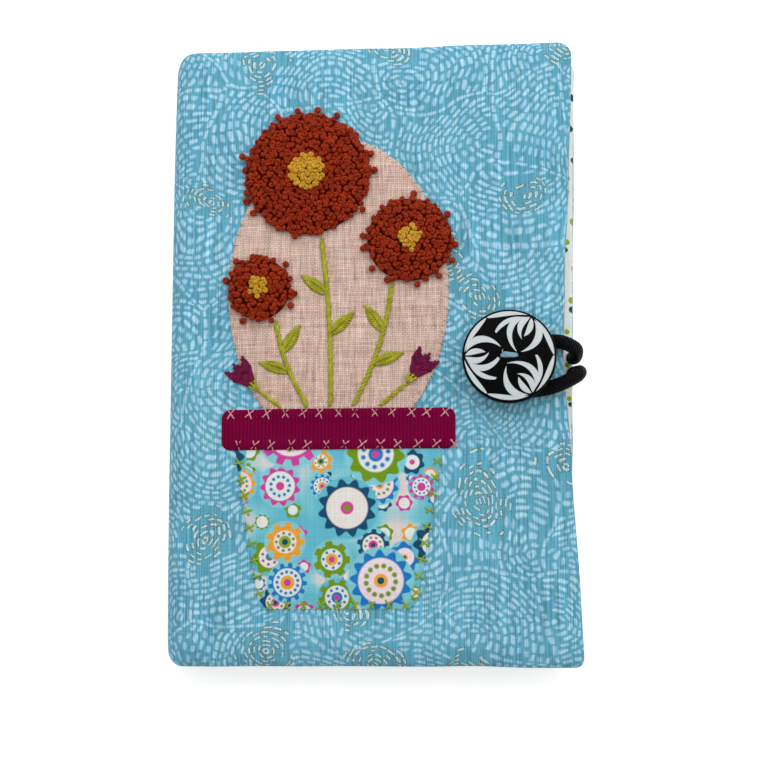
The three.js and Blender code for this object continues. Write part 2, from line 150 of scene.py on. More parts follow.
# A ring extruded along a route; the marks give each vertex its length along and its angle round
def sweepTube(bm, points, radii, sides, marks=None):
    frames = routeFrames(points)
    verts = bmesh.ops.create_circle(bm, segments=sides, radius=1.0)["verts"]
    edges = ringEdges(verts)
    firstEdges = edges
    before = Matrix.Identity(4)
    length = 0.0
    for index, place in enumerate(frames):
        now = place @ Matrix.Scale(radii[index], 4)
        if index:
            length += (points[index] - points[index - 1]).length
            verts, edges = extrudeRing(bm, edges)
        if marks is not None:
            back = before.inverted()
            for vert in verts:
                local = back @ vert.co
                marks[vert] = (length, math.atan2(local.y, local.x) / (2 * math.pi) + 0.5)
        bmesh.ops.transform(bm, matrix=now @ before.inverted(), verts=verts)
        before = now
    bmesh.ops.edgeloop_fill(bm, edges=firstEdges)
    bmesh.ops.edgeloop_fill(bm, edges=edges)


# Unrolls a tube by its marks; a face across the join is mapped past the end
def markUv(bm, marks, name, roundLength):
    layer = bm.loops.layers.uv.new(name)
    for face in bm.faces:
        turns = [marks[loop.vert][1] for loop in face.loops]
        wraps = max(turns) - min(turns) > 0.5
        for loop, turn in zip(face.loops, turns):
            shift = 1.0 if wraps and turn < 0.5 else 0.0
            loop[layer].uv = (marks[loop.vert][0], (turn + shift) * roundLength)


def latheProfile(bm, profile, steps):
    verts = [bm.verts.new((radius, 0.0, z)) for radius, z in profile]
    edges = [bm.edges.new(pair) for pair in zip(verts, verts[1:])]
    bmesh.ops.spin(bm, geom=verts + edges, cent=(0, 0, 0), axis=(0, 0, 1),
                   angle=2 * math.pi, steps=steps, use_merge=True)
    bmesh.ops.remove_doubles(bm, verts=bm.verts, dist=weld)
    faceOut(bm)


# A curve through all the points, with so many steps from one to the next
def smoothRoute(points, steps):
    route = []
    last = len(points) - 1
    for index in range(last):
        a, b, c, d = (points[min(max(index + k, 0), last)] for k in (-1, 0, 1, 2))
        for step in range(steps):
            t = step / steps
            bend = 2 * b + (c - a) * t + (2 * a - 5 * b + 4 * c - d) * t * t
            route.append((bend + (3 * b - a - 3 * c + d) * t ** 3) / 2)
    route.append(points[last].copy())
    return route


def bezierPoint(a, b, c, t):
    return a * (1 - t) ** 2 + b * (2 * t * (1 - t)) + c * t * t


def ink(red, green, blue):
    parts = [value / 255 for value in (red, green, blue)]
    linear = [p / 12.92 if p <= 0.04045 else ((p + 0.055) / 1.055) ** 2.4 for p in parts]
    return (*linear, 1.0)


def feed(tree, value, socket):
    if isinstance(value, bpy.types.NodeSocket):
        tree.links.new(value, socket)
    else:
        socket.default_value = value


# Short forms for shader nodes: each adds one to the tree and gives back what comes out of it
def calc(tree, operation, *values):
    node = tree.nodes.new("ShaderNodeMath")
    node.operation = operation
    for value, socket in zip(values, node.inputs):
        feed(tree, value, socket)
    return node.outputs[0]


def vec(tree, operation, *values):
    node = tree.nodes.new("ShaderNodeVectorMath")
    node.operation = operation
    for value, socket in zip(values, node.inputs):
        feed(tree, value, socket)
    return node.outputs["Value" if operation in ("LENGTH", "DISTANCE", "DOT_PRODUCT") else "Vector"]


def stretch(tree, vector, factors):
    return vec(tree, "MULTIPLY", vector, factors)


def split(tree, vector):
    node = tree.nodes.new("ShaderNodeSeparateXYZ")
    tree.links.new(vector, node.inputs[0])
    return node.outputs


def join(tree, x, y, z=0.0):
    node = tree.nodes.new("ShaderNodeCombineXYZ")
    for value, socket in zip((x, y, z), node.inputs):
        feed(tree, value, socket)
    return node.outputs[0]


def mixInk(tree, factor, a, b, blend="MIX"):
    node = tree.nodes.new("ShaderNodeMix")
    node.data_type = "RGBA"
    node.blend_type = blend
    feed(tree, factor, node.inputs[0])
    feed(tree, a, node.inputs[6])
    feed(tree, b, node.inputs[7])
    return node.outputs[2]


def noiseAt(tree, vector, scale, detail=2.0, output="Fac"):
    node = tree.nodes.new("ShaderNodeTexNoise")
    tree.links.new(vector, node.inputs["Vector"])
    node.inputs["Scale"].default_value = scale
    node.inputs["Detail"].default_value = detail
    return node.outputs[output]


def chance(tree, vector):
    node = tree.nodes.new("ShaderNodeTexWhiteNoise")
    node.noise_dimensions = "3D"
    tree.links.new(vector, node.inputs["Vector"])
    return node.outputs["Value"]


def cellsAt(tree, vector, scale, scatter, feature="F1"):
    node = tree.nodes.new("ShaderNodeTexVoronoi")
    node.voronoi_dimensions = "2D"
    node.feature = feature
    tree.links.new(vector, node.inputs["Vector"])
    feed(tree, scale, node.inputs["Scale"])
    node.inputs["Randomness"].default_value = scatter
    return node.outputs


def spread(tree, value, fromLow, fromHigh, low=0.0, high=1.0, smooth=True):
    node = tree.nodes.new("ShaderNodeMapRange")
    node.interpolation_type = "SMOOTHSTEP" if smooth else "LINEAR"
    for key, item in zip((0, 1, 2, 3, 4), (value, fromLow, fromHigh, low, high)):
        feed(tree, item, node.inputs[key])
    return node.outputs[0]


def pick(tree, value, colours, held=True):
    node = tree.nodes.new("ShaderNodeValToRGB")
    ramp = node.color_ramp
    ramp.interpolation = "CONSTANT" if held else "LINEAR"
    while len(ramp.elements) < len(colours):
        ramp.elements.new(0.5)
    for index, colour in enumerate(colours):
        steps = len(colours) if held else len(colours) - 1
        ramp.elements[index].position = index / steps
        ramp.elements[index].color = colour
    feed(tree, value, node.inputs[0])
    return node.outputs[0]


def newGroup(name, inputs, outputs):
    group = bpy.data.node_groups.new(name, "ShaderNodeTree")
    for label, value in inputs:
        kind = "NodeSocketVector" if value is None else "NodeSocketFloat"
        socket = group.interface.new_socket(label, in_out="INPUT", socket_type=kind)
        if value is not None:
            socket.default_value = value
    for label in outputs:
        kind = "NodeSocketColor" if label.endswith("Ink") else "NodeSocketFloat"
        group.interface.new_socket(label, in_out="OUTPUT", socket_type=kind)
    entry = group.nodes.new("NodeGroupInput")
    leave = group.nodes.new("NodeGroupOutput")
    return group, entry.outputs, leave.inputs


def placeGroup(tree, group, **values):
    node = tree.nodes.new("ShaderNodeGroup")
    node.node_tree = group
    for label, value in values.items():
        feed(tree, value, node.inputs[label])
    return node.outputs


def newMaterial(name, rough, sheen=0.0, specular=0.5):
    material = bpy.data.materials.new(name)
    material.use_nodes = True
    tree = material.node_tree
    shader = tree.nodes["Principled BSDF"]
    shader.inputs["Roughness"].default_value = rough
    shader.inputs["Specular IOR Level"].default_value = specular
    shader.inputs["Sheen Weight"].default_value = sheen
    shader.inputs["Sheen Roughness"].default_value = 0.5
    return material, tree, shader


def bumpInto(tree, shader, height, distance, strength=1.0):
    node = tree.nodes.new("ShaderNodeBump")
    node.inputs["Strength"].default_value = strength
    node.inputs["Distance"].default_value = distance * mm
    tree.links.new(height, node.inputs["Height"])
    tree.links.new(node.outputs[0], shader.inputs["Normal"])


def shadeInk(tree, colour, shade):
    return vec(tree, "MULTIPLY", colour, join(tree, shade, shade, shade))


# Places in millimetres: along the piece's own map, or in the book's frame
def mapPlace(tree, name):
    node = tree.nodes.new("ShaderNodeUVMap")
    node.uv_map = name
    return node.outputs[0]


def objectPlace(tree):
    node = tree.nodes.new("ShaderNodeTexCoord")
    return stretch(tree, node.outputs["Object"], (1 / mm, 1 / mm, 1 / mm))


cottonPitch = 0.36      # from thread to thread
linenPitch = 0.52
slubForm = {"across": 0.9, "along": 0.05}       # how fast a thread's thickness changes, in threads


def makeWeave():
    group, entry, leave = newGroup("plainWeave", [("Place", None), ("Pitch", 0.4)], ["Height", "Shade"])
    pitch = entry["Pitch"]
    x, y, _ = split(group, vec(group, "DIVIDE", entry["Place"], join(group, pitch, pitch, 1.0)))
    column = calc(group, "FLOOR", x)
    row = calc(group, "FLOOR", y)
    over = calc(group, "FLOORED_MODULO", calc(group, "ADD", column, row), 2.0)
    under = calc(group, "SUBTRACT", 1.0, over)
    warp = calc(group, "ABSOLUTE", calc(group, "SINE", calc(group, "MULTIPLY", x, math.pi)))
    weft = calc(group, "ABSOLUTE", calc(group, "SINE", calc(group, "MULTIPLY", y, math.pi)))
    warpHigh = calc(group, "MULTIPLY", warp, calc(group, "MULTIPLY_ADD", over, 0.5, 0.5))
    weftHigh = calc(group, "MULTIPLY", weft, calc(group, "MULTIPLY_ADD", under, 0.5, 0.5))
    feed(group, calc(group, "MAXIMUM", warpHigh, weftHigh), leave["Height"])
    # each thread has its own tone, and thick and thin stretches
    warpTone = chance(group, join(group, column, 3.0, 0.0))
    weftTone = chance(group, join(group, row, 11.0, 0.0))
    alongWarp = stretch(group, join(group, column, y, 0.0), (slubForm["across"], slubForm["along"], 1.0))
    slubWarp = noiseAt(group, alongWarp, 1.0, 1.0)
    alongWeft = stretch(group, join(group, x, row, 5.0), (slubForm["along"], slubForm["across"], 1.0))
    slubWeft = noiseAt(group, alongWeft, 1.0, 1.0)
    warpShade = calc(group, "MULTIPLY_ADD", warpTone, 0.5, calc(group, "MULTIPLY", slubWarp, 0.5))
    weftShade = calc(group, "MULTIPLY_ADD", weftTone, 0.5, calc(group, "MULTIPLY", slubWeft, 0.5))
    mixed = calc(group, "MULTIPLY_ADD", over, calc(group, "SUBTRACT", warpShade, weftShade), weftShade)
    feed(group, mixed, leave["Shade"])
    return group


# Short hairs that lie two ways and are bent by a slow swirl
def makeFuzz():
    group, entry, leave = newGroup("fibreFuzz", [("Place", None), ("Size", 0.3)], ["Height", "Shade"])
    size = entry["Size"]
    place = vec(group, "DIVIDE", entry["Place"], join(group, size, size, size))
    swirl = noiseAt(group, place, 0.35, 2.0, "Color")
    bent = vec(group, "ADD", place, vec(group, "MULTIPLY", swirl, (3.0, 3.0, 3.0)))
    hair = noiseAt(group, stretch(group, bent, (1.0, 0.22, 0.6)), 1.0, 3.0)
    cross = noiseAt(group, stretch(group, bent, (0.2, 1.0, 0.5)), 1.0, 3.0)
    feed(group, calc(group, "MAXIMUM", hair, cross), leave["Height"])
    feed(group, calc(group, "MULTIPLY_ADD", hair, 0.5, calc(group, "MULTIPLY", cross, 0.5)), leave["Shade"])
    return group


flowerForm = {
    "scatter": 0.72,
    "size": (0.35, 0.7),        # range drawn from and least, as a share of the size asked for
    "room": 0.97,               # share of the free room round it that a flower fills at most
    "extraPetals": 5.0,
    "toothed": 0.45,            # a number drawn over this gives teeth
    "beaded": 0.3,              # and over this a ring of beads
    "scallop": 0.1,             # depth of the scallops; from here on in flower radii
    "soft": 0.035,              # half width of the soft edges
    "disc": (0.2, 0.56),        # range and least
    "heart": (0.16, 0.2),
    "core": (0.56, 0.44),       # outer and inner limit, in heart radii
    "halo": (1.12, 1.02),
    "bead": 0.08,
}


# Round flowers on a jittered grid: masks of their parts, and two numbers drawn for each flower
def makeRoundFlower():
    inputs = [("Place", None), ("Cell", 13.0), ("Size", 5.5), ("Petals", 9.0)]
    outputs = ["Scallop", "Disc", "Beads", "Heart", "Core", "Halo", "First", "Second"]
    group, entry, leave = newGroup("roundFlower", inputs, outputs)
    scale = calc(group, "DIVIDE", 1.0, entry["Cell"])
    scatter, soft = flowerForm["scatter"], flowerForm["soft"]
    cells = cellsAt(group, entry["Place"], scale, scatter)
    room = cellsAt(group, entry["Place"], scale, scatter, "N_SPHERE_RADIUS")["Radius"]
    draw = split(group, cells["Color"])
    x, y, _ = split(group, vec(group, "SUBTRACT", entry["Place"], cells["Position"]))
    reach = vec(group, "LENGTH", join(group, x, y))
    angle = calc(group, "ADD", calc(group, "ARCTAN2", y, x), calc(group, "MULTIPLY", draw[2], 6.0))
    wanted = calc(group, "MULTIPLY", entry["Size"], calc(group, "MULTIPLY_ADD", draw[0], *flowerForm["size"]))
    room = calc(group, "MULTIPLY", calc(group, "MULTIPLY", room, entry["Cell"]), flowerForm["room"])
    share = calc(group, "DIVIDE", reach, calc(group, "MINIMUM", wanted, room))
    extra = calc(group, "FLOOR", calc(group, "MULTIPLY", draw[1], flowerForm["extraPetals"]))
    count = calc(group, "ADD", entry["Petals"], extra)
    wave = calc(group, "COSINE", calc(group, "MULTIPLY", angle, count))
    # round scallops on some, square teeth on others
    teeth = spread(group, wave, -0.4, 0.4, -1.0, 1.0)
    toothed = calc(group, "GREATER_THAN", draw[2], flowerForm["toothed"])
    edge = calc(group, "MULTIPLY_ADD", calc(group, "SUBTRACT", teeth, wave), toothed, wave)
    edge = calc(group, "MULTIPLY_ADD", edge, flowerForm["scallop"], 1 - flowerForm["scallop"])
    feed(group, spread(group, calc(group, "SUBTRACT", share, edge), soft, -soft), leave["Scallop"])
    discEdge = calc(group, "MULTIPLY_ADD", draw[1], *flowerForm["disc"])
    heartEdge = calc(group, "MULTIPLY_ADD", draw[2], *flowerForm["heart"])
    feed(group, spread(group, calc(group, "SUBTRACT", share, discEdge), soft, -soft), leave["Disc"])
    feed(group, spread(group, calc(group, "SUBTRACT", share, heartEdge), soft, -soft), leave["Heart"])
    inHeart = calc(group, "DIVIDE", share, heartEdge)
    feed(group, spread(group, inHeart, *flowerForm["core"]), leave["Core"])
    feed(group, spread(group, share, *flowerForm["halo"]), leave["Halo"])
    # most have a ring of beads between heart and edge
    ringAt = calc(group, "MULTIPLY", calc(group, "ADD", discEdge, heartEdge), 0.5)
    turn = calc(group, "MULTIPLY", calc(group, "DIVIDE", angle, 2 * math.pi), count)
    part = calc(group, "SUBTRACT", calc(group, "FRACT", turn), 0.5)
    arc = calc(group, "MULTIPLY", calc(group, "MULTIPLY", part, 2 * math.pi), ringAt)
    arc = calc(group, "DIVIDE", arc, count)
    bead = vec(group, "LENGTH", join(group, arc, calc(group, "SUBTRACT", share, ringAt)))
    bead = spread(group, bead, flowerForm["bead"] + soft, flowerForm["bead"] - soft)
    beaded = calc(group, "GREATER_THAN", draw[0], flowerForm["beaded"])
    feed(group, calc(group, "MULTIPLY", bead, beaded), leave["Beads"])
    feed(group, draw[0], leave["First"])
    feed(group, draw[1], leave["Second"])
    return group


weaveGroup = makeWeave()
fuzzGroup = makeFuzz()
flowerGroup = makeRoundFlower()


coverPrint = {
    "ground": ink(74, 148, 174),
    "groundPale": ink(110, 184, 208),
    "dash": ink(178, 221, 239),
    "dashDim": ink(138, 192, 222),
    "gilt": ink(98, 98, 50),
    # painted highlight on the gilt lines
    "giltPaintedHighlight": ink(205, 221, 205),
    "patch": 25.0,              # between the middles of patches of rows that curve alike
    "scatter": 0.85,
    "drifts": ((0.03, 14.0), (0.11, 3.0)),      # scale and size of the waves that bend the rows
    "aside": (0.5, 0.3),        # range and least, in patches, from a patch's middle to its rows' centre
    "row": 1.75,                # between rows of dashes
    "pitch": 3.1,               # between dashes in a row
    "halfLong": (0.42, 0.42),   # of a dash, range and least
    "halfWide": (0.14, 0.42),
    "soft": 0.26,               # half width of its soft edge
    "margin": 1.0,              # dashes keep this far from the border of two patches
    "cut": 0.7,                 # and are cut off here
    "borderPitch": 2.8,         # between dashes in the row along a border
    "borderWide": 0.48,
    "borderSpot": 0.1,          # their middles lie no further than this from it
    "giltPatch": 36.0,          # the same for the gilded spots
    "giltSize": (2.8, 4.8),
    "giltRagged": 15.0,
    "giltMargin": 0.7,
    "giltRow": 1.35,
    "giltPitch": 2.5,
    "giltLong": (0.45, 0.4),
    "giltWide": (0.14, 0.26),
    "giltMissing": 0.12,        # share of dashes left out
    "giltLines": ((-0.18, 0.8, "giltPaintedHighlight"), (0.05, 0.9, "gilt")),      # how far out, how strong
}


# Dashes in rings round a centre: where a point lies on its dash, two numbers drawn, and the dash's middle
def ringDashes(tree, place, centre, seed, row, pitch):
    x, y, _ = split(tree, vec(tree, "SUBTRACT", place, centre))
    rings = calc(tree, "DIVIDE", vec(tree, "LENGTH", join(tree, x, y)), row)
    ring = calc(tree, "FLOOR", rings)
    off = calc(tree, "MULTIPLY", calc(tree, "SUBTRACT", calc(tree, "FRACT", rings), 0.5), row)
    far = calc(tree, "MULTIPLY", calc(tree, "ADD", ring, 0.5), row)
    girth = calc(tree, "MULTIPLY", far, 2 * math.pi)
    count = calc(tree, "MAXIMUM", calc(tree, "ROUND", calc(tree, "DIVIDE", girth, pitch)), 1.0)
    start = chance(tree, join(tree, seed, ring, 2.0))
    turn = calc(tree, "DIVIDE", calc(tree, "ARCTAN2", y, x), 2 * math.pi)
    steps = calc(tree, "MULTIPLY_ADD", turn, count, start)
    step = calc(tree, "FLOOR", steps)
    number = calc(tree, "FLOORED_MODULO", step, count)
    draw = chance(tree, join(tree, seed, ring, number))
    other = chance(tree, join(tree, number, seed, ring))
    along = calc(tree, "SUBTRACT", calc(tree, "FRACT", steps), 0.5)
    along = calc(tree, "DIVIDE", calc(tree, "MULTIPLY", along, girth), count)
    slant = calc(tree, "MULTIPLY", calc(tree, "SUBTRACT", other, 0.5), off)
    along = calc(tree, "ABSOLUTE", calc(tree, "ADD", along, slant))
    way = calc(tree, "DIVIDE", calc(tree, "SUBTRACT", calc(tree, "ADD", step, 0.5), start), count)
    way = calc(tree, "MULTIPLY", way, 2 * math.pi)
    spot = join(tree, calc(tree, "COSINE", way), calc(tree, "SINE", way))
    spot = vec(tree, "ADD", centre, vec(tree, "MULTIPLY", spot, join(tree, far, far)))
    return along, off, draw, other, spot


def dashEdge(tree, along, off, halfLong, halfWide):
    past = calc(tree, "MAXIMUM", calc(tree, "SUBTRACT", along, halfLong), 0.0)
    return calc(tree, "SUBTRACT", vec(tree, "LENGTH", join(tree, past, off)), halfWide)


# One row of dashes along the border of two patches: how far a point lies outside one, and its middle
def borderDashes(tree, place, size, scatter, pitch):
    first = cellsAt(tree, place, 1 / size, scatter)["Position"]
    second = cellsAt(tree, place, 1 / size, scatter, "F2")["Position"]
    between = stretch(tree, vec(tree, "ADD", first, second), (0.5, 0.5, 0.0))
    x, y, _ = split(tree, vec(tree, "NORMALIZE", vec(tree, "SUBTRACT", second, first)))
    across = join(tree, x, y)
    down = join(tree, calc(tree, "MULTIPLY", y, -1.0), x)
    arm = vec(tree, "SUBTRACT", place, between)
    off = vec(tree, "DOT_PRODUCT", arm, across)
    along = vec(tree, "DOT_PRODUCT", arm, down)
    steps = calc(tree, "DIVIDE", calc(tree, "ABSOLUTE", along), pitch)
    step = calc(tree, "FLOOR", steps)
    far = calc(tree, "MULTIPLY", calc(tree, "ADD", step, 0.5), pitch)
    far = calc(tree, "MULTIPLY", far, calc(tree, "SIGN", along))
    spot = vec(tree, "ADD", between, vec(tree, "MULTIPLY", down, join(tree, far, far)))
    draw = chance(tree, vec(tree, "ADD", between, join(tree, step, step)))
    along = calc(tree, "MULTIPLY", calc(tree, "SUBTRACT", calc(tree, "FRACT", steps), 0.5), pitch)
    halfLong = calc(tree, "MULTIPLY_ADD", draw, *coverPrint["halfLong"])
    away = dashEdge(tree, calc(tree, "ABSOLUTE", along), off, halfLong, coverPrint["borderWide"])
    return away, spot


# The ragged gilded spots: middle, drawn numbers, and how far a place lies outside one
def giltSpot(tree, place):
    cells = cellsAt(tree, place, 1 / coverPrint["giltPatch"], coverPrint["scatter"])
    draws = split(tree, cells["Color"])
    reach = vec(tree, "DISTANCE", place, cells["Position"])
    size = calc(tree, "MULTIPLY_ADD", draws[1], *coverPrint["giltSize"])
    ragged = coverPrint["giltRagged"]
    ragged = calc(tree, "MULTIPLY_ADD", noiseAt(tree, place, 0.2, 1.0), ragged, -ragged / 2)
    outside = calc(tree, "ADD", calc(tree, "SUBTRACT", reach, size), ragged)
    return cells["Position"], draws, outside


def clearOfGilt(tree, spot):
    return calc(tree, "GREATER_THAN", giltSpot(tree, spot)[2], coverPrint["giltMargin"])


def toBorder(tree, place):
    cells = cellsAt(tree, place, 1 / coverPrint["patch"], coverPrint["scatter"], "DISTANCE_TO_EDGE")
    return cells["Distance"]


def coverCotton():
    material, tree, shader = newMaterial("turquoiseCotton", 0.85, 0.06, 0.2)
    place = mapPlace(tree, "cloth")
    size, scatter = coverPrint["patch"], coverPrint["scatter"]
    bent = place
    for scale, sway in coverPrint["drifts"]:
        drift = vec(tree, "SUBTRACT", noiseAt(tree, place, scale, 1.0, "Color"), (0.5, 0.5, 0.5))
        bent = vec(tree, "ADD", bent, stretch(tree, drift, (sway, sway, 0.0)))
    patches = cellsAt(tree, bent, 1 / size, scatter)
    draws = split(tree, patches["Color"])
    # each patch has its own centre, off to one side, so that its rows are arcs
    lean = calc(tree, "MULTIPLY", draws[0], 4 * math.pi)
    aside = calc(tree, "MULTIPLY", calc(tree, "MULTIPLY_ADD", draws[1], *coverPrint["aside"]), size)
    aside = vec(tree, "MULTIPLY", join(tree, calc(tree, "COSINE", lean), calc(tree, "SINE", lean)),
                join(tree, aside, aside))
    centre = vec(tree, "ADD", patches["Position"], aside)
    seed = calc(tree, "MULTIPLY", draws[0], 91.0)
    parts = ringDashes(tree, bent, centre, seed, coverPrint["row"], coverPrint["pitch"])
    along, off, draw, other, spot = parts
    # dashes stop short of the border of two patches, and one with its middle there is left out
    margin, soft = coverPrint["margin"] / size, coverPrint["soft"]
    whole = calc(tree, "GREATER_THAN", toBorder(tree, spot), margin)
    uncut = spread(tree, toBorder(tree, bent), coverPrint["cut"] / size, margin)
    whole = calc(tree, "MULTIPLY", calc(tree, "MULTIPLY", whole, uncut), clearOfGilt(tree, spot))
    halfLong = calc(tree, "MULTIPLY_ADD", draw, *coverPrint["halfLong"])
    halfWide = calc(tree, "MULTIPLY_ADD", other, *coverPrint["halfWide"])
    away = dashEdge(tree, along, off, halfLong, halfWide)
    dash = calc(tree, "MULTIPLY", spread(tree, away, soft, -soft), whole)
    # a row of its own along the border closes the gap
    away, spot = borderDashes(tree, bent, size, scatter, coverPrint["borderPitch"])
    whole = calc(tree, "LESS_THAN", toBorder(tree, spot), coverPrint["borderSpot"] / size)
    whole = calc(tree, "MULTIPLY", whole, clearOfGilt(tree, spot))
    dash = calc(tree, "MAXIMUM", dash, calc(tree, "MULTIPLY", spread(tree, away, soft, -soft), whole))
    # warp streaks and a slow drift of tone in the dyed ground
    streak = noiseAt(tree, stretch(tree, place, (2.2, 0.09, 1.0)), 1.0, 2.0)
    slow = noiseAt(tree, place, 0.035, 2.0)
    tone = calc(tree, "MULTIPLY_ADD", streak, 2.0, calc(tree, "MULTIPLY_ADD", slow, 0.8, -0.9))
    ground = mixInk(tree, tone, coverPrint["ground"], coverPrint["groundPale"])
    worn = calc(tree, "MULTIPLY_ADD", draw, 0.6, calc(tree, "MULTIPLY_ADD", streak, 2.2, -0.8))
    mark = mixInk(tree, worn, coverPrint["dashDim"], coverPrint["dash"])
    colour = mixInk(tree, dash, ground, mark)
    # gilded spots: small dashes in rings, each with a thin broken line round it, and just inside that a pale
    # line that is a painted highlight
    middle, spotDraws, _ = giltSpot(tree, bent)
    seed = calc(tree, "MULTIPLY", spotDraws[0], 53.0)
    parts = ringDashes(tree, bent, middle, seed, coverPrint["giltRow"], coverPrint["giltPitch"])
    along, off, draw, other, spot = parts
    inside = calc(tree, "LESS_THAN", giltSpot(tree, spot)[2], 0.0)
    inside = calc(tree, "MULTIPLY", inside, calc(tree, "GREATER_THAN", other, coverPrint["giltMissing"]))
    halfLong = calc(tree, "MULTIPLY_ADD", draw, *coverPrint["giltLong"])
    halfWide = calc(tree, "MULTIPLY_ADD", other, *coverPrint["giltWide"])
    away = dashEdge(tree, along, off, halfLong, halfWide)
    dash = calc(tree, "MULTIPLY", spread(tree, away, 0.12, -0.2), inside)
    colour = mixInk(tree, calc(tree, "MULTIPLY", dash, 0.85), colour, coverPrint["dash"])
    broken = spread(tree, noiseAt(tree, place, 0.9, 2.0), 0.38, 0.54)
    inked = calc(tree, "MULTIPLY", inside, broken)
    for level, part, label in coverPrint["giltLines"]:
        line = calc(tree, "ABSOLUTE", calc(tree, "SUBTRACT", away, level))
        line = calc(tree, "MULTIPLY", spread(tree, line, 0.17, 0.04), inked)
        colour = mixInk(tree, calc(tree, "MULTIPLY", line, part), colour, coverPrint[label])
    weave = placeGroup(tree, weaveGroup, Place=place, Pitch=cottonPitch)
    ribs = noiseAt(tree, stretch(tree, place, (3.2, 0.05, 1.0)), 1.0, 0.5)
    shade = calc(tree, "MULTIPLY_ADD", weave["Shade"], 0.3, calc(tree, "MULTIPLY_ADD", ribs, 1.15, 0.285))
    feed(tree, shadeInk(tree, colour, shade), shader.inputs["Base Color"])
    bumpInto(tree, shader, calc(tree, "MULTIPLY_ADD", streak, 0.5, weave["Height"]), 0.1, 0.7)
    return material


linenInks = (ink(168, 134, 118), ink(246, 216, 202))


def linenCloth():
    material, tree, shader = newMaterial("naturalLinen", 0.9, 0.05, 0.15)
    place = objectPlace(tree)
    weave = placeGroup(tree, weaveGroup, Place=place, Pitch=linenPitch)
    # slubs run along the threads both ways
    warp = noiseAt(tree, stretch(tree, place, (1.7, 0.2, 1.0)), 1.0, 2.0)
    weft = noiseAt(tree, stretch(tree, place, (0.2, 1.7, 1.0)), 1.0, 2.0)
    slub = calc(tree, "MULTIPLY_ADD", warp, 1.1, calc(tree, "MULTIPLY_ADD", weft, 0.7, -0.68))
    tone = calc(tree, "MULTIPLY_ADD", weave["Shade"], 0.7, slub)
    colour = mixInk(tree, tone, *linenInks)
    # painted shade: the colour darkens where the weave's threads dip, between them
    shade = calc(tree, "MULTIPLY_ADD", weave["Height"], 0.7, 0.47)
    feed(tree, shadeInk(tree, colour, shade), shader.inputs["Base Color"])
    bumpInto(tree, shader, weave["Height"], 0.14, 0.8)
    return material


printInks = {
    "ground": [ink(100, 190, 210), ink(132, 206, 218), ink(228, 216, 214)],
    "scallop": [ink(20, 122, 196), ink(112, 152, 14), ink(206, 66, 158), ink(14, 74, 108), ink(238, 166, 48)],
    "disc": [ink(238, 232, 226), ink(228, 236, 232), ink(244, 226, 232)],
    "beads": [ink(196, 52, 140), ink(28, 124, 194), ink(112, 150, 16)],
    "heart": [ink(240, 170, 40), ink(24, 120, 190), ink(216, 62, 152), ink(140, 172, 16)],
    "layers": [(7.4, 2.8, 5.0), (13.0, 6.0, 7.0), (21.0, 10.8, 9.0)],     # cell, size and fewest petals
    "aside": (3.7, 6.1),        # between one layer's grid and the next
}


def printedCotton():
    material, tree, shader = newMaterial("printedCotton", 0.85, 0.05, 0.2)
    place = objectPlace(tree)
    cloud = noiseAt(tree, place, 0.07, 1.0)
    colour = pick(tree, spread(tree, cloud, 0.38, 0.66), printInks["ground"], False)
    asideX, asideY = printInks["aside"]
    for layer, (cell, size, petals) in enumerate(printInks["layers"]):
        aside = vec(tree, "ADD", place, (asideX * layer, asideY * layer, 0.0))
        bloom = placeGroup(tree, flowerGroup, Place=aside, Cell=cell, Size=size, Petals=petals)
        first = calc(tree, "FRACT", calc(tree, "MULTIPLY", bloom["First"], 7.3))
        second = calc(tree, "FRACT", calc(tree, "MULTIPLY", bloom["Second"], 5.7))
        if layer:
            colour = mixInk(tree, bloom["Halo"], colour, pick(tree, second, printInks["ground"][:2]))
        colour = mixInk(tree, bloom["Scallop"], colour, pick(tree, first, printInks["scallop"]))
        colour = mixInk(tree, bloom["Disc"], colour, pick(tree, second, printInks["disc"]))
        if layer:
            colour = mixInk(tree, bloom["Beads"], colour, pick(tree, second, printInks["beads"]))
            colour = mixInk(tree, bloom["Heart"], colour, pick(tree, first, printInks["heart"]))
            colour = mixInk(tree, bloom["Core"], colour, pick(tree, second, printInks["scallop"][1:4]))
    weave = placeGroup(tree, weaveGroup, Place=place, Pitch=cottonPitch)
    shade = calc(tree, "MULTIPLY_ADD", weave["Shade"], 0.3, 0.82)
    feed(tree, shadeInk(tree, colour, shade), shader.inputs["Base Color"])
    bumpInto(tree, shader, weave["Height"], 0.08, 0.7)
    return material


liningPrint = {
    "ground": ink(246, 247, 243),
    "dots": [ink(150, 186, 40), ink(18, 70, 86)],
    "cell": 4.4,
    "size": 1.15,
    "petals": 6.0,
}


def liningCotton():
    material, tree, shader = newMaterial("printedLining", 0.85, 0.05, 0.2)
    place = mapPlace(tree, "cloth")
    dots = placeGroup(tree, flowerGroup, Place=place, Cell=liningPrint["cell"], Size=liningPrint["size"],
                      Petals=liningPrint["petals"])
    inks = pick(tree, dots["Second"], liningPrint["dots"])
    colour = mixInk(tree, dots["Scallop"], liningPrint["ground"], inks)
    weave = placeGroup(tree, weaveGroup, Place=place, Pitch=cottonPitch)
    shade = calc(tree, "MULTIPLY_ADD", weave["Shade"], 0.2, 0.88)
    feed(tree, shadeInk(tree, colour, shade), shader.inputs["Base Color"])
    bumpInto(tree, shader, weave["Height"], 0.08, 0.7)
    return material


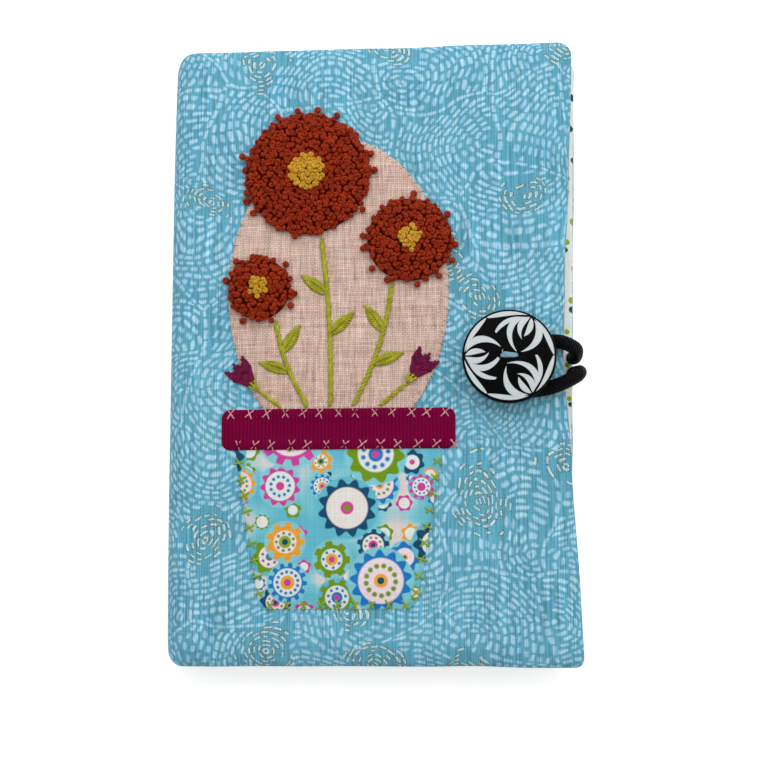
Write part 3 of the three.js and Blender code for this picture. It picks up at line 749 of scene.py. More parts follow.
def corduroy(pitch):
    material, tree, shader = newMaterial("wineCorduroy", 0.9, 0.1, 0.05)
    shader.inputs["Sheen Tint"].default_value = ink(190, 40, 100)
    place = objectPlace(tree)
    x = split(tree, place)[0]
    # painted shade: the colour darkens in the grooves between the wales
    wale = calc(tree, "ABSOLUTE", calc(tree, "SINE", calc(tree, "MULTIPLY", x, math.pi / pitch)))
    fuzz = placeGroup(tree, fuzzGroup, Place=place, Size=0.35)
    tone = calc(tree, "MULTIPLY_ADD", fuzz["Shade"], 0.8, calc(tree, "MULTIPLY_ADD", wale, 0.6, -0.3))
    colour = mixInk(tree, tone, ink(86, 0, 38), ink(134, 4, 62))
    feed(tree, colour, shader.inputs["Base Color"])
    bumpInto(tree, shader, fuzz["Height"], 0.1, 0.6)
    return material


def woolFelt():
    material, tree, shader = newMaterial("creamFelt", 0.95, 0.35, 0.1)
    place = mapPlace(tree, "cloth")
    fuzz = placeGroup(tree, fuzzGroup, Place=place, Size=0.5)
    slow = noiseAt(tree, place, 0.12, 3.0)
    tone = calc(tree, "MULTIPLY_ADD", fuzz["Shade"], 0.9, calc(tree, "MULTIPLY_ADD", slow, 0.6, -0.3))
    feed(tree, mixInk(tree, tone, ink(206, 194, 168), ink(242, 234, 216)), shader.inputs["Base Color"])
    bumpInto(tree, shader, fuzz["Height"], 0.25, 0.8)
    return material


def flossThread(name, dark, light, rough=0.6):
    material, tree, shader = newMaterial(name, rough, 0.03, 0.3)
    shader.inputs["Sheen Tint"].default_value = light
    shader.inputs["Specular Tint"].default_value = [0.3 + part * 0.7 for part in light]
    place = objectPlace(tree)
    fuzz = placeGroup(tree, fuzzGroup, Place=place, Size=0.16)
    slow = noiseAt(tree, place, 0.45, 2.0)
    tone = calc(tree, "MULTIPLY_ADD", fuzz["Shade"], 0.8, calc(tree, "MULTIPLY_ADD", slow, 1.0, -0.4))
    feed(tree, mixInk(tree, tone, dark, light), shader.inputs["Base Color"])
    bumpInto(tree, shader, fuzz["Height"], 0.06, 0.6)
    return material


buttonPlace = {"x": 37.5, "y": -4.0, "radius": 12.5}
inlayForm = {
    "root": 12.0,               # from the button's middle to a spray's root
    "limit": (11.95, 11.8),     # the sprays end here
    "soft": 0.12,
}
# Leaves of one spray: lean at its root, bend, where it starts and ends, half width, how late it is fullest
buttonLeaves = [
    (0.48, -0.0095, 0.4, 5.9, 0.85, 1.0),
    (-0.58, 0.0155, 0.4, 6.8, 0.95, 1.0),
    (1.15, -0.0092, 1.0, 10.1, 1.25, 1.4),
    (-0.95, 0.01, 1.0, 10.6, 1.15, 1.5),
    (-1.0, 0.0034, 2.0, 11.6, 0.72, 1.2),
    (1.42, -0.0028, 0.8, 11.8, 1.6, 1.5),
    (-1.42, 0.0028, 0.8, 11.8, 1.6, 1.5),
]


def makeInlayLeaf():
    inputs = [(label, 0.0) for label in ("Reach", "Lean", "Angle", "Bend", "Start", "End", "Width", "Late")]
    group, entry, leave = newGroup("inlayLeaf", inputs, ["Mask"])
    share = spread(group, entry["Reach"], entry["Start"], entry["End"], smooth=False)
    late = calc(group, "POWER", share, entry["Late"])
    belly = calc(group, "POWER", calc(group, "SINE", calc(group, "MULTIPLY", late, math.pi)), 0.75)
    square = calc(group, "MULTIPLY", entry["Reach"], entry["Reach"])
    centre = calc(group, "MULTIPLY_ADD", entry["Bend"], square, entry["Angle"])
    off = calc(group, "ABSOLUTE", calc(group, "SUBTRACT", entry["Lean"], centre))
    inside = calc(group, "SUBTRACT", calc(group, "MULTIPLY", entry["Width"], belly),
                  calc(group, "MULTIPLY", off, entry["Reach"]))
    feed(group, spread(group, inside, 0.0, inlayForm["soft"]), leave["Mask"])
    return group


def hornButton():
    material, tree, shader = newMaterial("darkHorn", 0.3, 0.0, 0.03)
    place = vec(tree, "SUBTRACT", objectPlace(tree), (buttonPlace["x"], buttonPlace["y"], 0.0))
    x, y, _ = split(tree, place)
    reach = vec(tree, "LENGTH", join(tree, x, y))
    third = 2 * math.pi / 3       # the button has three like sprays
    angle = calc(tree, "ADD", calc(tree, "ARCTAN2", y, x), math.pi + third / 2)
    angle = calc(tree, "SUBTRACT", calc(tree, "FLOORED_MODULO", angle, third), third / 2)
    across = calc(tree, "MULTIPLY", reach, calc(tree, "COSINE", angle))
    inward = calc(tree, "SUBTRACT", inlayForm["root"], across)
    aside = calc(tree, "MULTIPLY", reach, calc(tree, "SINE", angle))
    fromRoot = vec(tree, "LENGTH", join(tree, inward, aside))
    lean = calc(tree, "ARCTAN2", calc(tree, "MULTIPLY", aside, -1.0), inward)
    leaf = makeInlayLeaf()
    inlay = 0.0
    for leanThere, bend, begin, end, width, late in buttonLeaves:
        mask = placeGroup(tree, leaf, Reach=fromRoot, Lean=lean, Angle=leanThere, Bend=bend,
                          Start=begin, End=end, Width=width, Late=late)["Mask"]
        inlay = calc(tree, "MAXIMUM", inlay, mask)
    inlay = calc(tree, "MULTIPLY", inlay, spread(tree, reach, *inlayForm["limit"]))
    grain = noiseAt(tree, stretch(tree, place, (0.4, 2.5, 0.4)), 1.0, 4.0)
    bone = mixInk(tree, grain, ink(188, 196, 197), ink(218, 225, 226))
    dark = mixInk(tree, grain, ink(1, 1, 2), ink(7, 7, 8))
    feed(tree, mixInk(tree, inlay, dark, bone), shader.inputs["Base Color"])
    scratch = noiseAt(tree, stretch(tree, place, (6.0, 0.5, 1.0)), 1.0, 3.0)
    feed(tree, calc(tree, "MULTIPLY_ADD", scratch, 0.2, 0.22), shader.inputs["Roughness"])
    relief = calc(tree, "MULTIPLY_ADD", inlay, -0.6, calc(tree, "MULTIPLY", scratch, 0.25))
    bumpInto(tree, shader, relief, 0.05, 0.6)
    return material


braid = {"along": 5.2, "round": 3.53}       # turns of its ribs, in radians to a millimetre


def braidedElastic():
    material, tree, shader = newMaterial("blackElastic", 0.5, 0.0, 0.035)
    place = mapPlace(tree, "braid")
    x, y, _ = split(tree, place)
    ribs = []
    for way in (braid["round"], -braid["round"]):
        turn = calc(tree, "MULTIPLY_ADD", x, braid["along"], calc(tree, "MULTIPLY", y, way))
        ribs.append(calc(tree, "SINE", turn))
    rib = calc(tree, "MAXIMUM", *ribs)
    fuzz = placeGroup(tree, fuzzGroup, Place=objectPlace(tree), Size=0.2)
    # painted highlight and shade: lighter on the crests of the braid's ribs, darker between them
    tone = calc(tree, "MULTIPLY_ADD", rib, 0.3, fuzz["Shade"])
    feed(tree, mixInk(tree, tone, ink(1, 1, 2), ink(12, 13, 15)), shader.inputs["Base Color"])
    bumpInto(tree, shader, calc(tree, "MULTIPLY_ADD", fuzz["Height"], 0.6, rib), 0.16, 0.9)
    return material


finishes = {
    "cover": coverCotton(),
    "lining": liningCotton(),
    "linen": linenCloth(),
    "print": printedCotton(),
    "corduroy": corduroy(rim["pitch"]),
    "felt": woolFelt(),
    "rust": flossThread("rustThread", ink(104, 14, 0), ink(172, 56, 16), 0.4),
    # painted shade: a darker rust than the knots, for the gaps between them
    "rustShadeUnder": flossThread("rustShadeUnderlay", ink(78, 8, 0), ink(112, 22, 4), 0.8),
    "yellow": flossThread("yellowThread", ink(168, 116, 18), ink(226, 178, 62)),
    "green": flossThread("greenThread", ink(108, 114, 8), ink(210, 206, 66)),
    "lime": flossThread("limeThread", ink(104, 140, 20), ink(172, 198, 70)),
    "wine": flossThread("wineThread", ink(74, 8, 36), ink(140, 32, 82)),
    "pink": flossThread("pinkThread", ink(184, 122, 130), ink(230, 184, 182)),
    "flax": flossThread("linenThread", ink(188, 160, 140), ink(238, 216, 200)),
    "cream": flossThread("creamThread", ink(196, 182, 150), ink(238, 228, 206)),
    "blue": flossThread("blueThread", ink(92, 138, 166), ink(160, 194, 210)),
    "horn": hornButton(),
    "elastic": braidedElastic(),
}
print("finishes made:", len(finishes))


view = {
    "eye": (0.0325, -0.0768, 0.45),         # in metres
    "turn": (8.724, 3.725, -0.713),         # in degrees
    "lens": 76.77,
    "sensor": 36.0,
}


stage = {
    "worldLight": 0.44,         # on the object; the world shows as full white
    "floorHalf": 3000.0,
    "floorTop": -0.15,
    "floorGlow": 0.5,           # where it shows
    "aim": (0.0, 0.0, 0.01),
    "lamps": [                  # a broad key over the head, weaker ones from the right and the left
        ("keyLight", (0.05, 0.45, 0.5), 0.75, 3.0),
        ("sideLight", (0.85, 0.2, 0.9), 0.7, 2.4),
        ("fillLight", (-0.9, 0.1, 0.9), 1.0, 2.2),
    ],
}


# One for rays that show the background as it looks, nought for those that light the object
def clearRays(tree):
    rays = tree.nodes.new("ShaderNodeLightPath")
    seen = calc(tree, "MAXIMUM", rays.outputs["Is Camera Ray"], rays.outputs["Is Transmission Ray"])
    return calc(tree, "MAXIMUM", seen, rays.outputs["Is Glossy Ray"])


def makeStage():
    camera = bpy.data.objects.new("photoCamera", bpy.data.cameras.new("photoCamera"))
    scene.collection.objects.link(camera)
    camera.data.sensor_width = view["sensor"]
    camera.data.lens = view["lens"]
    camera.data.clip_start = 0.01
    turn = Matrix.Identity(4)
    for angle, axis in zip(view["turn"], "XYZ"):
        turn = turn @ Matrix.Rotation(math.radians(angle), 4, axis)
    camera.matrix_world = Matrix.Translation(view["eye"]) @ turn
    scene.camera = camera

    world = bpy.data.worlds.new("studio")
    scene.world = world
    world.use_nodes = True
    tree = world.node_tree
    back = tree.nodes["Background"]
    seen = clearRays(tree)
    back.inputs["Color"].default_value = (1.0, 1.0, 1.0, 1.0)
    light = stage["worldLight"]
    feed(tree, calc(tree, "MULTIPLY_ADD", seen, 1 - light, light), back.inputs["Strength"])

    for name, place, size, power in stage["lamps"]:
        data = bpy.data.lights.new(name, "AREA")
        data.size = size
        data.energy = power
        lamp = bpy.data.objects.new(name, data)
        scene.collection.objects.link(lamp)
        aim = Vector(stage["aim"]) - Vector(place)
        lamp.matrix_world = Matrix.Translation(place) @ aim.to_track_quat("-Z", "Y").to_matrix().to_4x4()

    bm = bmesh.new()
    bmesh.ops.create_grid(bm, x_segments=4, y_segments=4, size=stage["floorHalf"])
    bmesh.ops.translate(bm, vec=(0.0, 0.0, stage["floorTop"]), verts=bm.verts)
    paper, tree, shader = newMaterial("paleFloor", 0.9, 0.0, 0.1)
    grain = noiseAt(tree, objectPlace(tree), 0.4, 3.0)
    feed(tree, mixInk(tree, grain, ink(240, 240, 240), ink(246, 246, 246)), shader.inputs["Base Color"])
    shader.inputs["Emission Color"].default_value = (1.0, 1.0, 1.0, 1.0)
    glow = calc(tree, "MULTIPLY", clearRays(tree), stage["floorGlow"])
    feed(tree, glow, shader.inputs["Emission Strength"])
    floor = finishPiece(bm, "floor", paper)
    scene.view_settings.view_transform = "Standard"


makeStage()
print("stage set")


frontShape = {
    "start": -arcLength,
    "fore": foreX - arcX + book["flare"],
    "half": book["height"] / 2,
    "corner": book["corner"],
    "tailCorner": book["tailCorner"],
    "bow": book["bow"],
    "slant": 0.0,
    "fan": book["fan"],
    "drop": book["spineCorner"],
    "arc": book["spineRadius"],
}
backShape = dict(frontShape, fore=foreX - arcX + book["backFlare"], bow=0.0, slant=book["slant"], fan=0.0)
pad = {
    "cells": (72, 108),     # quads from spine to fore edge and from tail to head
    "crowding": 0.45,       # how far the rows gather towards the edges
    "thickness": 3.4,
    "edge": 4.0,            # width of the rounded edge
    "roundness": 2.3,
    "seam": 0.3,            # half thickness at the seam
    "spine": 0.5,           # the spine and each face swell by this
    "front": 0.3,
    "back": 0.05,
    "blend": 18.0,          # from the fold to where the face's own swell holds
    "relief": 0.1,          # share of the width, from the spine, over which the relief begins
    "ripple": 0.12,
    "rippleScale": 0.045,
    "pucker": 0.1,
    "puckerScale": 0.62,
    "puckerReach": 5.0,     # how soon it fades inwards
    "wander": 0.3,          # how far the edge strays
    "wanderScale": 0.06,
    "wanderReach": 6.0,
    "wrap": 0.9,            # share of the edge's fall that the cloth runs on by
}
swell = {
    "scale": 0.01,          # simulated units to a millimetre
    "frames": 20,
    "pressure": 0.9,
    "slack": 0.002,         # how much larger the cloth is cut than its face
    "cap": 0.7,             # no point moves further than this
    "sewn": 1.5,            # half width of the dip along a sewn edge
    "shank": 1.5,           # half width of what the button holds down
    "seamHeld": 0.5,        # this much over the seam is held still
    "spineHeld": 4.0,       # and this much along from the spine
    "quality": 5,
    "mass": 0.1,
    "bending": 0.3,
}


# Gathers evenly spaced shares towards both ends
def gathered(share, crowding):
    return share - crowding * math.sin(2 * math.pi * share) / (2 * math.pi)


def noiseOver(x, y, scale, seed):
    return noise.noise(Vector((x * scale, y * scale, seed)))


def layMap(bm, layer, maps):
    for face in bm.faces:
        for loop in face.loops:
            loop[layer].uv = maps[loop.vert]


# A point of a cover or leaf laid flat: how far across and along, its distance to the edge, the way out
def flatPlace(across, along, shape):
    half = shape["half"]
    corner = shape["corner" if along > 0 else "tailCorner"]
    pull = (along * half - buttonPlace["y"]) / (half - shape["corner"])
    pull = math.hypot(pull, book["bowEase"]) - book["bowEase"] if pull > 0 else -pull
    fore = shape["fore"] + shape["slant"] * along - shape["bow"] * max(1 - pull, 0.0) ** book["bowPower"]
    u = shape["start"] + across * (fore - shape["start"])
    half += shape["fan"] * max(u / fore, 0.0) ** 3
    v = along * half
    if u < 0 and shape["drop"]:
        near = math.hypot(book["spineRadius"] * (1 - math.sin(-u / shape["arc"])), book["spineDip"])
        gap = max(shape["drop"] - near, 0.0)
        half -= shape["drop"] - math.sqrt(shape["drop"] ** 2 - gap ** 2)
        v = along * half
    right = fore - u
    top = half - abs(v)
    if right < corner and top < corner:
        a = 1 - right / corner
        b = 1 - top / corner
        a, b = a * math.sqrt(1 - b * b / 2), b * math.sqrt(1 - a * a / 2)
        reach = max(math.hypot(a, b), 1e-6)
        u = fore - corner * (1 - a)
        out = (a / reach, math.copysign(b / reach, v))
        v = math.copysign(half - corner * (1 - b), v)
        return u, v, corner * (1 - reach), out
    out = (1.0, 0.0) if right < top else (0.0, math.copysign(1.0, v))
    return u, v, min(right, top), out


# The same point with the book shut: past the fold line the sheet turns about the spine's middle
def shutPlace(u, v, radius, arcRadius, side):
    if u >= 0:
        return Vector((arcX + u, v, book["spineRadius"] + side * radius))
    turn = -u / arcRadius
    x = arcX - radius * math.sin(turn)
    return Vector((x, v, book["spineRadius"] + side * radius * math.cos(turn)))


# From nought at an edge to one where the rounding ends
def roundOff(distance, width, power):
    share = 1 - min(max(distance / width, 0.0), 1.0)
    return (1 - share ** power) ** (1 / power)


# A closed box one wide, deep and high, whose two faces are grids
def doubledGrid(cells):
    bm = bmesh.new()
    bmesh.ops.create_grid(bm, x_segments=cells[0], y_segments=cells[1], size=0.5)
    grown = bmesh.ops.extrude_face_region(bm, geom=bm.faces[:], use_keep_orig=True)["geom"]
    bmesh.ops.translate(bm, vec=(0.0, 0.0, 1.0), verts=partsOf(grown, bmesh.types.BMVert))
    faceOut(bm)
    return bm


def flatPad(name, shape, side, seed):
    bm = doubledGrid(pad["cells"])
    face = pad["front" if side > 0 else "back"]
    layer = bm.loops.layers.uv.new("cloth")
    crease = bm.edges.layers.float.new("crease_edge")
    half = pad["thickness"] / 2
    maps = {}
    for edge in bm.edges:
        atSpine = all(vert.co.x < -0.4999 for vert in edge.verts)
        if atSpine and abs(edge.verts[0].co.z - edge.verts[1].co.z) < 0.5:
            edge[crease] = 1.0
            edge.smooth = False
    for vert in bm.verts:
        across = gathered(vert.co.x + 0.5, pad["crowding"])
        along = 2 * gathered(vert.co.y + 0.5, pad["crowding"]) - 1
        outer = vert.co.z > 0.5
        u, v, d, out = flatPlace(across, along, shape)
        full = roundOff(d, pad["edge"], pad["roundness"])
        rise = pad["seam"] + (half - pad["seam"]) * full
        if outer:
            flat = smoothStep(min(max(u / pad["blend"], 0.0), 1.0))
            crown = pad["spine"] + (face - pad["spine"]) * flat
            crown *= (1 - max(2 * across - 1, 0.0) ** 4) * (1 - along ** 4)
            ease = min(across / pad["relief"], 1.0)
            spot = Vector((u * pad["rippleScale"], v * pad["rippleScale"], seed))
            rise += crown + pad["ripple"] * noise.noise(spot) * full * ease
            fold = math.sin((u + v) * pad["puckerScale"] + 2.5 * noise.noise(spot * 2.2))
            rise += pad["pucker"] * fold * full * math.exp(-d / pad["puckerReach"]) * ease
        wander = pad["wander"] * noiseOver(u, v, pad["wanderScale"], seed + 7.0)
        wander *= math.exp(-d / pad["wanderReach"])
        extra = (half - min(rise, half)) * pad["wrap"]
        if not outer:       # the map runs on round the edge
            extra = 2 * (d + pad["seam"] + pad["wrap"] * (half - pad["seam"])) - extra
        uv = (u + out[0] * extra, v + out[1] * extra)
        maps[vert] = uv if side > 0 else (-2 * arcLength - uv[0], uv[1])
        vert.co = (u + out[0] * wander, v + out[1] * wander, rise if outer else -rise)
    layMap(bm, layer, maps)
    faceOut(bm)
    piece = bpy.data.objects.new(name, meshFrom(bm, name))
    scene.collection.objects.link(piece)
    return piece


# How firmly the cover is sewn down at a place: along the patches' edges and under the button
def sewnDown(x, y):
    away = [math.hypot(x - buttonPlace["x"], y - buttonPlace["y"]) - swell["shank"]]
    if y > rimTop:
        reach = math.hypot((x - oval["x"]) / oval["halfWide"], (y - oval["y"]) / oval["halfTall"])
        away.append(abs(reach - 1) * oval["halfWide"])
    inside = abs(x - motifX)
    if rimFoot - 1 < y < rimTop + 1:
        away.append(abs(inside - rim["half"]))
    if inside < rim["half"]:
        away.append(min(abs(y - rimTop), abs(y - rimFoot)))
    if pot["foot"] < y < rimFoot:
        share = (y - pot["foot"]) / (pot["top"] - pot["foot"])
        away.append(abs(inside - pot["footHalf"] - (pot["topHalf"] - pot["footHalf"]) * share))
    if inside < pot["footHalf"]:
        away.append(abs(y - pot["foot"]))
    return math.exp(-(max(min(away), 0.0) / swell["sewn"]) ** 2)


# The outer cloth is cut a little large and pressed up from inside. Seams, lining side and spine end are held
def swellPad(piece, shape):
    mesh = piece.data
    places = [vert.co.copy() for vert in mesh.vertices]
    held = piece.vertex_groups.new(name="held")
    for index, place in enumerate(places):
        low = place.z < pad["seam"] + swell["seamHeld"]
        firm = low or place.x < shape["start"] + swell["spineHeld"]
        weight = 1.0 if firm else sewnDown(arcX + place.x, place.y)
        if weight > 0.02:
            held.add([index], weight, "REPLACE")
    mesh.transform(Matrix.Scale(swell["scale"], 4))
    cloth = piece.modifiers.new("swell", "CLOTH")
    cloth.settings.quality = swell["quality"]
    cloth.settings.mass = swell["mass"]
    cloth.settings.bending_stiffness = swell["bending"]
    cloth.settings.vertex_group_mass = "held"
    cloth.settings.shrink_min = -swell["slack"]
    cloth.settings.use_pressure = True
    cloth.settings.uniform_pressure_force = swell["pressure"]
    cloth.settings.effector_weights.gravity = 0.0
    cloth.collision_settings.use_collision = False
    cloth.point_cache.frame_start = 1
    cloth.point_cache.frame_end = swell["frames"]
    for frameNumber in range(1, swell["frames"] + 1):
        scene.frame_set(frameNumber)
    settleModifiers(piece)
    scene.frame_set(1)
    furthest = 0.0
    for vert, place in zip(piece.data.vertices, places):
        move = vert.co / swell["scale"] - place
        furthest = max(furthest, move.length)
        if move.length > 1e-6:
            move *= swell["cap"] * math.tanh(move.length / swell["cap"]) / move.length
        vert.co = place + move
    print("cloth swelled by up to", round(furthest, 2), "mm before the cap")


def shutPad(name, shape, side, seed):
    flat = flatPad(name + "Flat", shape, side, seed)
    if side > 0:
        swellPad(flat, shape)
    smooth = flat.modifiers.new("smooth", "SUBSURF")
    smooth.levels = 1
    smooth.render_levels = 1
    settleModifiers(flat)
    bm = bmesh.new()
    bm.from_mesh(flat.data)
    half = pad["thickness"] / 2
    outerRadius = book["spineRadius"]
    for vert in bm.verts:
        depth = half - vert.co.z
        vert.co = shutPlace(vert.co.x, vert.co.y, outerRadius - depth, outerRadius, side)
    faceOut(bm)
    bpy.data.objects.remove(flat)
    return bm


carriers = []       # what embroidery and patches lie on, in millimetres


def surfaceAt(x, y):
    heights = []
    for tree in carriers:
        hit = tree.ray_cast(Vector((x, y, 60.0)), Vector((0.0, 0.0, -1.0)))[0]
        if hit is not None:
            heights.append(hit.z)
    return max(heights) if heights else faceZ


frontBm = shutPad("front_pad", frontShape, 1, 3.0)
carriers.append(BVHTree.FromBMesh(frontBm))
frontPad = finishPiece(frontBm, "front_pad", finishes["cover"],
                       stands=["front_outer_cloth", "front_batting"])
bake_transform(frontPad)
backBm = shutPad("back_pad", backShape, -1, 11.0)
backPad = finishPiece(backBm, "back_pad", finishes["cover"],
                      stands=["back_outer_cloth", "back_batting", "spine_outer_cloth", "spine_batting"])
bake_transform(backPad)
print("covers padded:", len(frontPad.data.polygons) + len(backPad.data.polygons), "faces")


sheetForm = {
    "crowding": 0.7,
    "tip": 0.35,            # share of the thickness left at the edge
    "edge": 0.7,            # width of the rounded edge, in thicknesses
    "wrap": 0.2,            # the inner side is mapped this much further out
    "waveScale": 0.05,
    "calm": 12.0,           # waves begin this far from the fold
    "wander": 0.15,         # how far the cut edge strays
    "wanderScale": 0.3,
    "wanderReach": 0.5,
}


# A lining or leaf from the middle of its fold to its fore edge, closed and with the book shut
def innerSheet(shape, thickness, outerRadius, side, cells, wave, seed, drop=None):
    bm = doubledGrid(cells)
    layer = bm.loops.layers.uv.new("cloth")
    maps = {}
    middle = outerRadius - thickness / 2
    for vert in bm.verts:
        across = gathered(vert.co.x + 0.5, sheetForm["crowding"])
        along = 2 * gathered(vert.co.y + 0.5, sheetForm["crowding"]) - 1
        outer = vert.co.z > 0.5
        u, v, d, out = flatPlace(across, along, shape)
        mapped = u + out[0] * (0.0 if outer else sheetForm["wrap"])
        mapped = mapped if side < 0 else 2 * shape["start"] - mapped       # one cloth across the spine
        maps[vert] = (mapped, v)
        lift = wave * noiseOver(u, v, sheetForm["waveScale"], seed)
        lift *= min(max(u / sheetForm["calm"], 0.0), 1.0)
        full = roundOff(d, thickness * sheetForm["edge"], 2.0)
        depth = thickness / 2 * (sheetForm["tip"] + (1 - sheetForm["tip"]) * full)
        radius = middle + (depth if outer else -depth) + lift + (drop(d) if drop else 0.0)
        wander = 0.0
        if d < sheetForm["wanderReach"]:
            wander = sheetForm["wander"] * noiseOver(u, v, sheetForm["wanderScale"], seed + 3.0)
        vert.co = shutPlace(u + out[0] * wander, v + out[1] * wander, radius, middle, side)
    layMap(bm, layer, maps)
    faceOut(bm)
    return bm


lining = {
    "inset": 0.25,
    "thickness": 0.55,
    "gap": 0.03,            # to the pad
    "cells": (60, 84),
    "seed": 5.0,
}


def makeLining(name, shape, side, stands):
    inset = lining["inset"]
    radius = book["spineRadius"] - pad["thickness"] - lining["gap"]
    arc = radius - lining["thickness"] / 2
    start = -arc * math.pi / 2
    cut = dict(shape, start=start, fore=shape["fore"] - inset, half=shape["half"] - inset, arc=arc)
    deep = pad["thickness"] / 2 - pad["seam"]

    def drop(d):        # the lining follows the pad down to its seam
        return deep * (1 - roundOff(d + inset, pad["edge"], pad["roundness"]))

    bm = innerSheet(cut, lining["thickness"], radius, side, lining["cells"], 0.0, lining["seed"], drop)
    piece = finishPiece(bm, name, finishes["lining"], stands=stands)
    return piece, (cut["fore"] - start, 2 * cut["half"])


frontLining, frontCut = makeLining("front_lining_cloth", frontShape, 1, ["front_lining"])
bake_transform(frontLining)
backLining, backCut = makeLining("back_lining_cloth", backShape, -1, ["back_lining", "spine_lining"])
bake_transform(backLining)
print("lining laid")

felt = {
    "thickness": 1.2,
    "outerRadii": (3.2, 1.7),       # of the two folded sheets, outer first
    "hinges": (-46.6, -45.1),
    "bend": (-1.2, 3.0),            # from a hinge to where its leaf begins and ends to bend
    "fore": 48.0,
    "half": 78.0,
    "corner": 5.0,
    "cells": (48, 70),
    "wave": 0.1,
}
leaves = [("1", 0, -1), ("2", 1, -1), ("3", 1, 1), ("4", 0, 1)]
foldNames = ("felt_fold_outer", "felt_fold_inner")
for number, sheet, side in leaves:
    radius = felt["outerRadii"][sheet]
    middle = radius - felt["thickness"] / 2
    shape = {
        "start": -middle * math.pi / 2,
        "fore": felt["fore"] - arcX,
        "half": felt["half"],
        "corner": felt["corner"],
        "tailCorner": felt["corner"],
        "bow": 0.0,
        "slant": 0.0,
        "fan": 0.0,
        "drop": 0.0,
    }
    bm = innerSheet(shape, felt["thickness"], radius, side, felt["cells"], felt["wave"], 2.0 * int(number))
    stands = ["felt_leaf_" + number]
    if side > 0:
        stands.append(foldNames[sheet])
    leaf = finishPiece(bm, "felt_sheet_" + number, finishes["felt"], stands=stands)
    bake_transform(leaf)
print("felt leaves folded")


patchForm = {
    "feel": 1.1,            # the ground is felt this far round each point
    "tip": 0.3,             # share of the thickness left at the edge
    "gap": 0.02,            # to the ground
    "weld": 0.02,
    "crumple": 0.1,
    "crumpleScale": 0.11,
    "crumpleEdge": 3.0,     # it fades this close to the edge
    "sharp": 50,            # degrees
}


# A patch cut from a grid by planes (a point and the way out), laid on what is below
def patchMesh(planes, box, cells, thickness, edge, relief):
    left, right, low, high = box
    bm = bmesh.new()
    bmesh.ops.create_grid(bm, x_segments=cells[0], y_segments=cells[1], size=0.5)
    bmesh.ops.scale(bm, vec=(right - left, high - low, 1.0), verts=bm.verts)
    bmesh.ops.translate(bm, vec=((left + right) / 2, (low + high) / 2, 0.0), verts=bm.verts)
    for point, normal in planes:
        bmesh.ops.bisect_plane(bm, geom=bm.verts[:] + bm.edges[:] + bm.faces[:], dist=weld,
                               plane_co=point, plane_no=normal, clear_outer=True)
    bmesh.ops.remove_doubles(bm, verts=bm.verts, dist=patchForm["weld"])
    grown = bmesh.ops.extrude_face_region(bm, geom=bm.faces[:], use_keep_orig=True)["geom"]
    upper = set(partsOf(grown, bmesh.types.BMVert))
    feel, tip = patchForm["feel"], patchForm["tip"]
    steps = ((0.0, 0.0), (feel, 0.0), (-feel, 0.0), (0.0, feel), (0.0, -feel))
    for vert in bm.verts:
        x, y = vert.co.x, vert.co.y
        d = min((point - vert.co).dot(normal) for point, normal in planes)
        ground = sum(surfaceAt(x + a, y + b) for a, b in steps) / len(steps)
        if vert in upper:
            top = thickness * (tip + (1 - tip) * roundOff(d, edge, 2.0))
            vert.co.z = ground + 2 * patchForm["gap"] + top + relief(x, y, d)
        else:
            vert.co.z = ground + patchForm["gap"]
    faceOut(bm)
    return bm


def arcPlanes(x, y, radiusX, radiusY, begin, end, count):
    planes = []
    for index in range(count + 1):
        angle = math.radians(begin + (end - begin) * index / count)
        point = Vector((x + radiusX * math.cos(angle), y + radiusY * math.sin(angle), 0.0))
        normal = Vector((math.cos(angle) / radiusX, math.sin(angle) / radiusY, 0.0)).normalized()
        planes.append((point, normal))
    return planes


def levelPlane(y, way):
    return Vector((motifX, y, 0.0)), Vector((0.0, way, 0.0))


def crumple(seed):
    def relief(x, y, d):
        rise = patchForm["crumple"] * noiseOver(x, y, patchForm["crumpleScale"], seed)
        return rise * min(d / patchForm["crumpleEdge"], 1.0)
    return relief


linenCut = {
    "arc": (-60, 240, 74),      # first and last angle of the round part, and its steps
    "halfBox": 30.5,            # of the cloth that it is cut from
    "topBox": 58.6,
    "cells": (52, 66),
    "thickness": 0.55,
    "edge": 0.9,
    "flat": (60.0, 78.1),
    "fill": 0.93,               # share of a whole oval's area
}


def makeLinenPatch():
    planes = arcPlanes(oval["x"], oval["y"], oval["halfWide"], oval["halfTall"], *linenCut["arc"])
    planes.append(levelPlane(oval["foot"], -1.0))
    box = (motifX - linenCut["halfBox"], motifX + linenCut["halfBox"], oval["foot"], linenCut["topBox"])
    bm = patchMesh(planes, box, linenCut["cells"], linenCut["thickness"], linenCut["edge"], crumple(1.0))
    carriers.append(BVHTree.FromBMesh(bm))
    piece = finishPiece(bm, "linen_patch", finishes["linen"], "front_cover", ["linen_oval"],
                        patchForm["sharp"])


printCut = {
    "cornerOut": 0.5,           # the foot's corners stand out by this
    "cornerSteps": 8,
    "halfBox": 29.0,
    "cells": (50, 40),
    "thickness": 0.5,
    "edge": 0.8,
    "meanWide": 49.0,
}


def makePrintPatch():
    corner = pot["corner"]
    slope = Vector((1.0, -potSlope, 0.0)).normalized()
    lean = math.degrees(math.atan2(slope.y, slope.x))
    planes = []
    for side in (1, -1):
        normal = Vector((slope.x * side, slope.y, 0.0))
        planes.append((Vector((motifX + side * pot["footHalf"], pot["foot"], 0.0)), normal))
        centreX = motifX + side * (pot["footHalf"] - corner + printCut["cornerOut"])
        turns = (-90, lean) if side > 0 else (-180 - lean, -90)
        centreY = pot["foot"] + corner
        planes.extend(arcPlanes(centreX, centreY, corner, corner, *turns, printCut["cornerSteps"]))
    planes.append(levelPlane(pot["foot"], -1.0))
    planes.append(levelPlane(pot["top"], 1.0))
    box = (motifX - printCut["halfBox"], motifX + printCut["halfBox"], pot["foot"], pot["top"])
    bm = patchMesh(planes, box, printCut["cells"], printCut["thickness"], printCut["edge"], crumple(4.0))
    carriers.append(BVHTree.FromBMesh(bm))
    piece = finishPiece(bm, "print_patch", finishes["print"], "front_cover", ["pot_patch"],
                        patchForm["sharp"])


